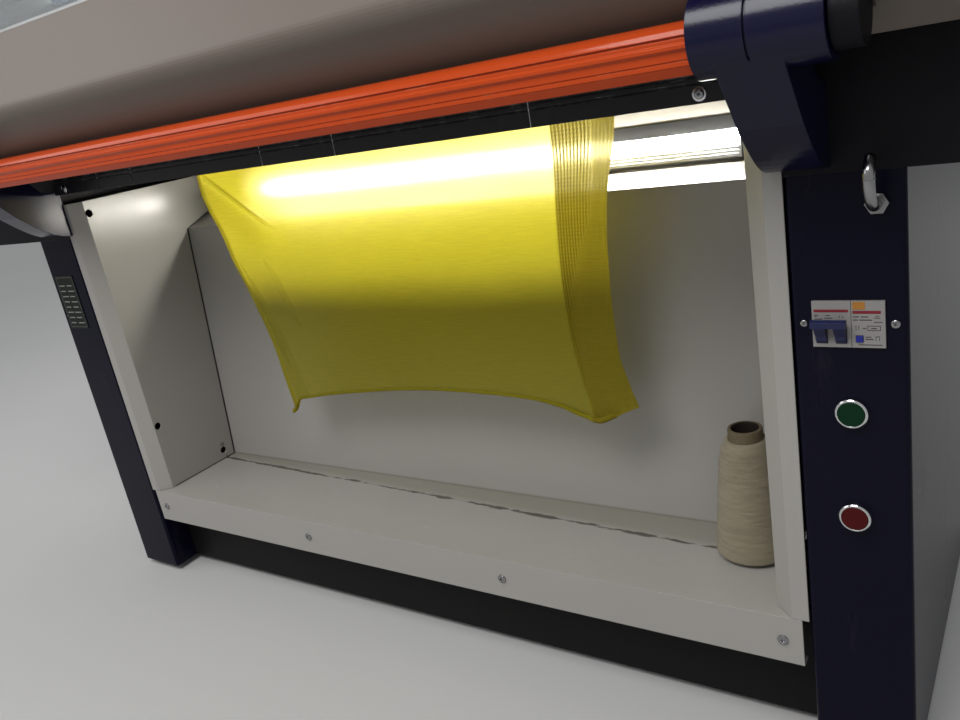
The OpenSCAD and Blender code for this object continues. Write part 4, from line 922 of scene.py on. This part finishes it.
class KNITTER_OT_screen(bpy.types.Operator):
    """Adds the turning screen's glass and key pads, and the signal lamp's lenses"""

    bl_idname = "knitter.screen"
    bl_label = "Screen and signal lamp"

    def execute(self, context):
        place = foot_of(SCREEN_ARM_LOW, SCREEN_ARM_HIGH) + SCREEN_SEAT
        tilt = Matrix.Translation(place) @ Matrix.Rotation(SCREEN_LEAN, 4, "X")
        glass, w, surface = new_material("Screen glass", Coat_Weight=0.6, Coat_Roughness=0.03)
        smear = w.noise(w.place(), 16.0, 5.0, 0.7)
        w.feed(surface, "Roughness", w.spread(smear, 0.45, 0.85, 0.06, 0.30))
        w.feed(surface, "Base Color", w.blend(smear, (0.010, 0.012, 0.016, 1),
                                              (0.020, 0.023, 0.028, 1)))
        slabs("screen_glass", [((-0.1505, -0.0338, 0.0595), (0.1505, -0.0308, 0.2345))], glass,
              "screen", "dark_plastic", 0.0008, tilt)
        pads = plastic("Key pads", (0.16, 0.165, 0.17), 0.6)
        keys = [((-0.148 + k * 0.030, -0.0352, 0.018), (-0.126 + k * 0.030, -0.0336, 0.036))
                for k in range(8)]
        slabs("screen_keys", keys, pads, "screen", "dark_plastic", 0.0007, tilt)
        self.signal_lenses()
        return {"FINISHED"}

    def signal_lenses(self):
        place = foot_of(SIGNAL_LOW, SIGNAL_HIGH)
        for name, colour, low in (("signal_lens_green", (0.02, 0.34, 0.10), 0.0130),
                                  ("signal_lens_red", (0.55, 0.02, 0.015), 0.0388)):
            profile = []
            for k in range(12):
                profile += [(0.0192, low + k * 0.0020), (0.0198, low + k * 0.0020 + 0.0010)]
            profile = [(0.0190, low)] + profile + [(0.0190, low + 0.0242)]
            lens = plastic(name.replace("_", " ").capitalize(), colour, 0.18, coat=0.5)
            mesh_piece(name, *lathe(profile, 48, place)[:2], lens, slot="dark_plastic")


def smooth_along(points, at):
    """Value at a place between points, joined by smooth curves (Catmull-Rom)."""
    for index in range(len(points) - 1):
        (x0, y0), (x1, y1) = points[index], points[index + 1]
        if at <= x1 or index == len(points) - 2:
            before = points[max(index - 1, 0)][1]
            after = points[min(index + 2, len(points) - 1)][1]
            t = max(0.0, min(1.0, (at - x0) / (x1 - x0)))
            bend = 2 * before - 5 * y0 + 4 * y1 - after
            twist = 3 * y0 - before - 3 * y1 + after
            return 0.5 * (2 * y0 + (y1 - before) * t + bend * t * t + twist * t ** 3)
    return points[-1][1]


def ease(value, low, high):
    """Smooth step from 0 at low to 1 at high."""
    t = max(0.0, min(1.0, (value - low) / (high - low)))
    return t * t * (3 - 2 * t)


# Outline of the knit in metres: height and distance along the machine, from the hem upward
LEFT_EDGE = ((0.321, -0.256), (0.382, -0.266), (0.432, -0.272), (0.476, -0.281), (0.541, -0.297),
             (0.586, -0.312), (0.628, -0.320), (0.683, -0.337), (0.724, -0.345), (0.760, -0.347))
BORDER_EDGE = ((0.352, 0.306), (0.387, 0.300), (0.448, 0.291), (0.515, 0.288), (0.567, 0.289),
               (0.641, 0.296), (0.688, 0.301), (0.760, 0.304))
RIGHT_EDGE = ((0.371, 0.373), (0.389, 0.367), (0.412, 0.361), (0.437, 0.355), (0.476, 0.353),
              (0.515, 0.353), (0.564, 0.356), (0.612, 0.361), (0.659, 0.370), (0.692, 0.380),
              (0.724, 0.387), (0.760, 0.388))
# Where the border's open ribs end and its doubled side begins, by height
RIB_END = ((0.516, 0.294), (0.570, 0.310), (0.596, 0.324), (0.623, 0.336), (0.672, 0.346),
           (0.760, 0.356))
# Height of the hem by distance along the machine
HEM = ((-0.256, 0.321), (-0.236, 0.344), (-0.179, 0.355), (-0.121, 0.364), (-0.015, 0.375),
       (0.080, 0.381), (0.167, 0.381), (0.230, 0.376), (0.267, 0.367), (0.288, 0.357),
       (0.316, 0.348), (0.338, 0.356), (0.373, 0.371))
HEM_START, HEM_BORDER, HEM_END = -0.256, 0.306, 0.373
# What the knit's points are marked with, for its material; the rib shade and the doubled cloth
# also carry painted shade in its colour
MARKS = ("Border", "Rib shade", "Doubled")
# Mesh rows above the rollers' nip and round the rolled hem
ABOVE_ROWS, ROLL_ROWS = 10, 16
# The crease that runs down from the upper left corner
CREASE_START, CREASE_END = Vector((-0.340, 0.733)), Vector((-0.216, 0.644))


class KNITTER_OT_knit(bpy.types.Operator):
    """Hangs the yellow knit from the take-down rollers, with its ribbed border and rolled hem"""

    bl_idname = "knitter.knit"
    bl_label = "Knit"

    plain_width = 0.643
    border_width = 0.087
    nip = (ROLLER_LOW.z + ROLLER_HIGH.z) / 2 + 0.006

    def execute(self, context):
        self.sizes = context.scene.knitter_knit
        plain, border = self.sizes.plain_columns, self.sizes.border_columns
        columns = plain + border
        verts, uvs, marks = [], [], []
        steps = self.steps()
        for step in steps:
            for column in range(columns + 1):
                in_border = column > plain
                share = (column - plain) / border if in_border else column / plain
                point, flat, mark = self.point(step, share, in_border)
                verts.append(point)
                uvs.append(flat)
                marks.append(mark)
        faces = []
        for row in range(len(steps) - 1):
            for column in range(columns):
                a = row * (columns + 1) + column
                faces.append((a, a + 1, a + columns + 2, a + columns + 1))
        knit = mesh_piece("yellow_knit", verts, faces, self.material(context), "frame",
                          "yellow_knit", uvs=uvs)
        for index, label in enumerate(MARKS):
            layer = knit.data.attributes.new(label, "FLOAT", "POINT")
            layer.data.foreach_set("value", [mark[index] for mark in marks])
        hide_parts("knit_fabric")
        return {"FINISHED"}

    def steps(self):
        """Rows from the top: (part, share) with parts above the rollers, free, and rolled."""
        above = [("above", k / ABOVE_ROWS) for k in range(ABOVE_ROWS)]
        free = [("free", k / self.sizes.rows) for k in range(self.sizes.rows + 1)]
        return above + free + [("roll", (k + 1) / ROLL_ROWS) for k in range(ROLL_ROWS)]

    def point(self, step, share, in_border):
        part, along = step
        top = KNIT_HIGH.z - 0.002
        start, end = (HEM_BORDER, HEM_END) if in_border else (HEM_START, HEM_BORDER)
        hem_x = start + (end - start) * share
        roll, turns = self.roll(hem_x)
        hem = smooth_along(HEM, hem_x) + roll
        if part == "above":
            z = top + (self.nip - top) * along
        else:
            z = self.nip + (hem - self.nip) * (along if part == "free" else 1.0)
        level = min(z, self.nip)
        left, middle, right = (smooth_along(edge, level)
                               for edge in (LEFT_EDGE, BORDER_EDGE, RIGHT_EDGE))
        x = middle + (right - middle) * share if in_border else left + (middle - left) * share
        flat_x = self.plain_width * (1 if in_border else share)
        flat_x += self.border_width * share * in_border
        flat_y = top - z
        forward, mark = self.relief(x, z, flat_x, x - left, right - x, in_border)
        y = GAP_Y - forward
        if part == "roll":
            angle = along * math.tau * turns
            size = roll * (1 - 0.22 * along)
            z = hem - size * math.sin(angle)
            y = y - size * (1 - math.cos(angle))
            flat_y += roll * angle
        return (x, y, z), (flat_x, flat_y), mark

    def roll(self, x):
        """Radius of the rolled hem, wider at the corner, and its turns, a flap at the border."""
        wobble = 1 + 0.35 * noise.noise(Vector((x * 38, 0, 3.1)))
        radius = 0.0026 + 0.0018 * (1 - ease(x, HEM_START, -0.225)) + 0.0012 * ease(x, 0.23, 0.29)
        radius *= wobble
        flap = ease(x, 0.296, 0.310)
        rear = ease(x, 0.338, 0.346)
        radius += 0.0022 * flap * (1 - rear)
        turns = 1.15 - 0.55 * flap - 0.45 * rear
        return radius, turns

    def relief(self, x, z, flat_x, from_left, from_right, in_border):
        """How far the cloth stands forward, and its marks: border, painted shade in the rib
        valleys, doubled cloth.
        """
        free = ease(self.nip - 0.016 - z, 0.0, 0.30)
        sway = self.sizes.fold_depth * free * (
            math.sin(x * 9.0 + z * 3.0) * 0.55 + math.sin(x * 21.0 - z * 7.0 + 1.3) * 0.20
            + noise.noise(Vector((x * 7, z * 6, 0.0))) * 0.8)
        below = CREASE_END - CREASE_START
        run = below.normalized()
        offset = Vector((x, z)) - CREASE_START
        down = offset.dot(run)
        beside = offset.x * -run.y + offset.y * run.x
        fade = ease(down, 0.004, 0.02) * (1 - ease(down, below.length * 0.75, below.length * 1.25))
        hung = ease(self.nip - z, 0.018, 0.05)
        forward = sway
        forward += 0.0030 * fade * hung * math.exp(-(beside / 0.0045) ** 2)
        flap = fade * hung * ease(-beside, 0.0, 0.02) * (1 - ease(-beside, 0.03, 0.09))
        forward += 0.0022 * flap
        pleats = math.sin((from_left + z * 0.16) * 72.0) * (1 - ease(from_left, 0.02, 0.13))
        forward += 0.0018 * pleats * free
        curl = max(0.0, 1 - from_left / 0.007)
        forward += 0.0040 * curl ** 2 * hung
        doubled = 0.9 * fade * hung * math.exp(-((beside - 0.001) / 0.0016) ** 2)
        doubled = max(doubled, 0.55 * ease(0.0065 - from_left, 0.0, 0.004), 0.35 * flap)
        border = rib_shade = 0.0
        if in_border:
            border = ease(flat_x, self.plain_width, self.plain_width + 0.003)
            last_rib = smooth_along(RIB_END, max(z, RIB_END[0][0]))
            open_ribs = 1 - ease(x, last_rib - 0.004, last_rib + 0.010)
            phase = math.cos((flat_x - self.plain_width) / self.sizes.rib_pitch * math.tau)
            depth = 0.35 + 0.65 * open_ribs
            forward += 0.0009 * phase * hung * depth
            rib_shade = border * (0.5 - 0.5 * phase) ** 2 * open_ribs
            doubled = max(doubled, 0.62 * (1 - open_ribs),
                          0.5 * ease(0.005 - from_right, 0.0, 0.003))
        limit = 0.0012 + free * 0.03 + 0.0026 * hung
        return max(-limit, min(limit, forward)), (border, rib_shade, doubled)

    def material(self, context):
        paint = context.scene.knitter_paint
        material, w, surface = new_material("Yellow knit", Roughness=0.85, Sheen_Weight=0.04,
                                            Sheen_Roughness=0.5, Specular_IOR_Level=0.08)
        border, line, doubled = (
            w.add("ShaderNodeAttribute", {"attribute_name": label}).outputs["Fac"]
            for label in MARKS)
        # Painted shade: doubled cloth is darkened towards ochre for the backlight that passes less
        # through two layers; the border's ochre is its own denser yarn
        border_ochre_and_fold_shade = w.math("MAXIMUM", w.times(border, 0.75), w.times(doubled, 0.7))
        yarn = w.blend(border_ochre_and_fold_shade, rgba(paint.yellow), rgba(paint.ochre))
        plain = place_group(w, knit_group, Colour=yarn)
        ribbed = place_group(w, knit_group, Colour=yarn, Course=0.0046,
                             Wale=context.scene.knitter_knit.rib_pitch, Contrast=0.42)
        open_ribs = w.times(border, w.spread(doubled, 0.55, 0.15), clamp=True)
        stitches = w.blend(open_ribs, plain["Colour"], ribbed["Colour"])
        # Painted shade: the rib valleys are darkened in the colour
        shaded = w.blend(w.times(line, 0.42), stitches, (0.07, 0.047, 0.004, 1))
        w.feed(surface, "Base Color", shaded)
        height = w.plus(w.times(plain["Height"], w.minus(1.0, open_ribs)),
                        w.times(ribbed["Height"], open_ribs))
        bump(w, surface, height, 0.0006)
        through = w.add("ShaderNodeBsdfTranslucent")
        w.feed(through, "0", shaded)
        thin = w.minus(1.0, w.math("MAXIMUM", w.times(border, 0.45), doubled))
        last = w.mixed(w.spread(thin, 0.0, 1.0, 0.14, 0.52), surface.outputs[0],
                       through.outputs[0])
        straight = w.times(thin, thin, w.minus(1.0, line))
        for share, colour, roughness, index in (
            (self.sizes.haze, (1.0, 0.92, 0.45, 1), 0.90, 1.24),
            (self.sizes.see_through, (1.0, 0.95, 0.62, 1), 0.42, 1.13),
        ):
            passing = w.add("ShaderNodeBsdfRefraction", Color=colour, Roughness=roughness,
                            IOR=index)
            last = w.mixed(w.times(straight, share), last, passing.outputs[0])
        output = next(n for n in w.tree.nodes if n.type == "OUTPUT_MATERIAL")
        w.feed(output, "0", last)
        return material


# Radius of the winding's bore and of the card tube's, rows up the winding's side, and how far
# its uneven strands swell
CONE_BORE, TUBE_BORE, CONE_ROWS, SWELL = 0.0206, 0.0156, 60, 0.0008


class KNITTER_OT_cone(bpy.types.Operator):
    """Winds the cream yarn on its card tube"""

    bl_idname = "knitter.cone"
    bl_label = "Yarn cone"

    def execute(self, context):
        place = foot_of(CONE_LOW, CONE_HIGH)
        radius = (CONE_HIGH.x - CONE_LOW.x) / 2
        tall = CONE_HIGH.z - CONE_LOW.z
        side = ((0.0080, radius), (tall * 0.09, radius - 0.0005), (tall * 0.45, radius - 0.006),
                (tall * 0.76, radius - 0.0115), (tall * 0.86, radius - 0.015),
                (tall * 0.905, radius - 0.019))
        profile = [(CONE_BORE, 0.0040), (radius - 0.0050, 0.0040), (radius - 0.0025, 0.0046),
                   (radius - 0.0008, 0.0062)]
        for k in range(CONE_ROWS + 1):
            height = side[0][0] + (side[-1][0] - side[0][0]) * k / CONE_ROWS
            profile.append((smooth_along(side, height), height))
        profile += [(radius - 0.0215, tall * 0.914), (radius - 0.0240, tall * 0.918),
                    (CONE_BORE, tall * 0.919), (CONE_BORE, 0.0040)]
        verts, faces, uvs = lathe(profile, 128, place, closed=True)
        for index, vert in enumerate(verts):
            local = vert - place
            bulge = noise.noise(Vector((local.x * 30, local.y * 30, local.z * 45))) * 0.0006
            bulge += noise.noise(Vector((local.x * 12, local.y * 12, local.z * 260))) * 0.0004
            flat = Vector((local.x, local.y, 0))
            if flat.length > CONE_BORE + 0.0009:
                verts[index] = vert + flat.normalized() * (min(bulge, SWELL) - SWELL)
        material, w, surface = new_material("Cone yarn", Roughness=0.9, Sheen_Weight=0.15,
                                            Specular_IOR_Level=0.2)
        wound = place_group(w, wound_yarn_group, Colour=rgba(context.scene.knitter_paint.yarn))
        w.feed(surface, "Base Color", wound["Colour"])
        bump(w, surface, wound["Height"], 0.0007)
        winding = mesh_piece("cone_winding", verts, faces, material, "frame", "cream_yarn",
                             uvs=uvs)
        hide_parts("yarn_cone")
        card, w, surface = new_material("Card tube", Roughness=0.8, Specular_IOR_Level=0.2)
        fibres = w.noise(w.place(), 260.0, 5.0, 0.7)
        outer = w.blend(fibres, (0.070, 0.054, 0.029, 1), (0.135, 0.108, 0.066, 1))
        rim = (place.x, place.y, place.z + tall)
        # Painted shade: the tube's inner wall is darkened
        facing = w.dot(w.dot(w.place(), rim, "SUBTRACT"),
                       w.add("ShaderNodeNewGeometry").outputs["Normal"])
        bore_shade = w.spread(facing, -0.004, -0.012)
        w.feed(surface, "Base Color", w.blend(bore_shade, outer, (0.012, 0.009, 0.006, 1)))
        bump(w, surface, fibres, 0.0002)
        tube = [(TUBE_BORE, 0.0), (0.0203, 0.0), (0.0205, 0.002), (0.0205, tall - 0.0020),
                (0.0200, tall - 0.0005), (0.0190, tall), (0.0168, tall), (0.0160, tall - 0.0006),
                (TUBE_BORE, tall - 0.002), (TUBE_BORE, 0.0)]
        verts, faces, uvs = lathe(tube, 64, place, closed=True)
        card_tube = mesh_piece("cone_tube", verts, faces, card, "frame", "cream_yarn", uvs=uvs)
        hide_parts("yarn_cone")
        return {"FINISHED"}


STEPS = ("stage", "casings", "metals", "plastics", "lamp", "start_bar", "fixings", "plates",
         "screen", "knit", "cone")


class KNITTER_PT_panel(bpy.types.Panel):
    """Lists the finishing steps and their settings"""

    bl_idname = "KNITTER_PT_panel"
    bl_label = "Flat knitting machine"
    bl_space_type = "VIEW_3D"
    bl_region_type = "UI"
    bl_category = "Knitter"

    def draw(self, context):
        layout = self.layout
        for group in (context.scene.knitter_paint, context.scene.knitter_knit,
                      context.scene.knitter_stage):
            box = layout.box()
            for name in group.__annotations__:
                box.prop(group, name)
        for step in STEPS:
            layout.operator("knitter." + step)


SETTINGS = {"knitter_paint": KnitterPaint, "knitter_knit": KnitterKnit,
            "knitter_stage": KnitterStage}
CLASSES = (KnitterPaint, KnitterKnit, KnitterStage, KNITTER_OT_stage, KNITTER_OT_casings,
           KNITTER_OT_metals, KNITTER_OT_plastics, KNITTER_OT_lamp, KNITTER_OT_start_bar,
           KNITTER_OT_fixings, KNITTER_OT_plates, KNITTER_OT_screen, KNITTER_OT_knit,
           KNITTER_OT_cone, KNITTER_PT_panel)


def register():
    for item in CLASSES:
        bpy.utils.register_class(item)
    for name, group in SETTINGS.items():
        setattr(bpy.types.Scene, name, PointerProperty(type=group))


def unregister():
    for name in SETTINGS:
        delattr(bpy.types.Scene, name)
    for item in reversed(CLASSES):
        bpy.utils.unregister_class(item)


def main():
    register()
    for step in STEPS:
        getattr(bpy.ops.knitter, step)()


if __name__ == "__main__":
    main()
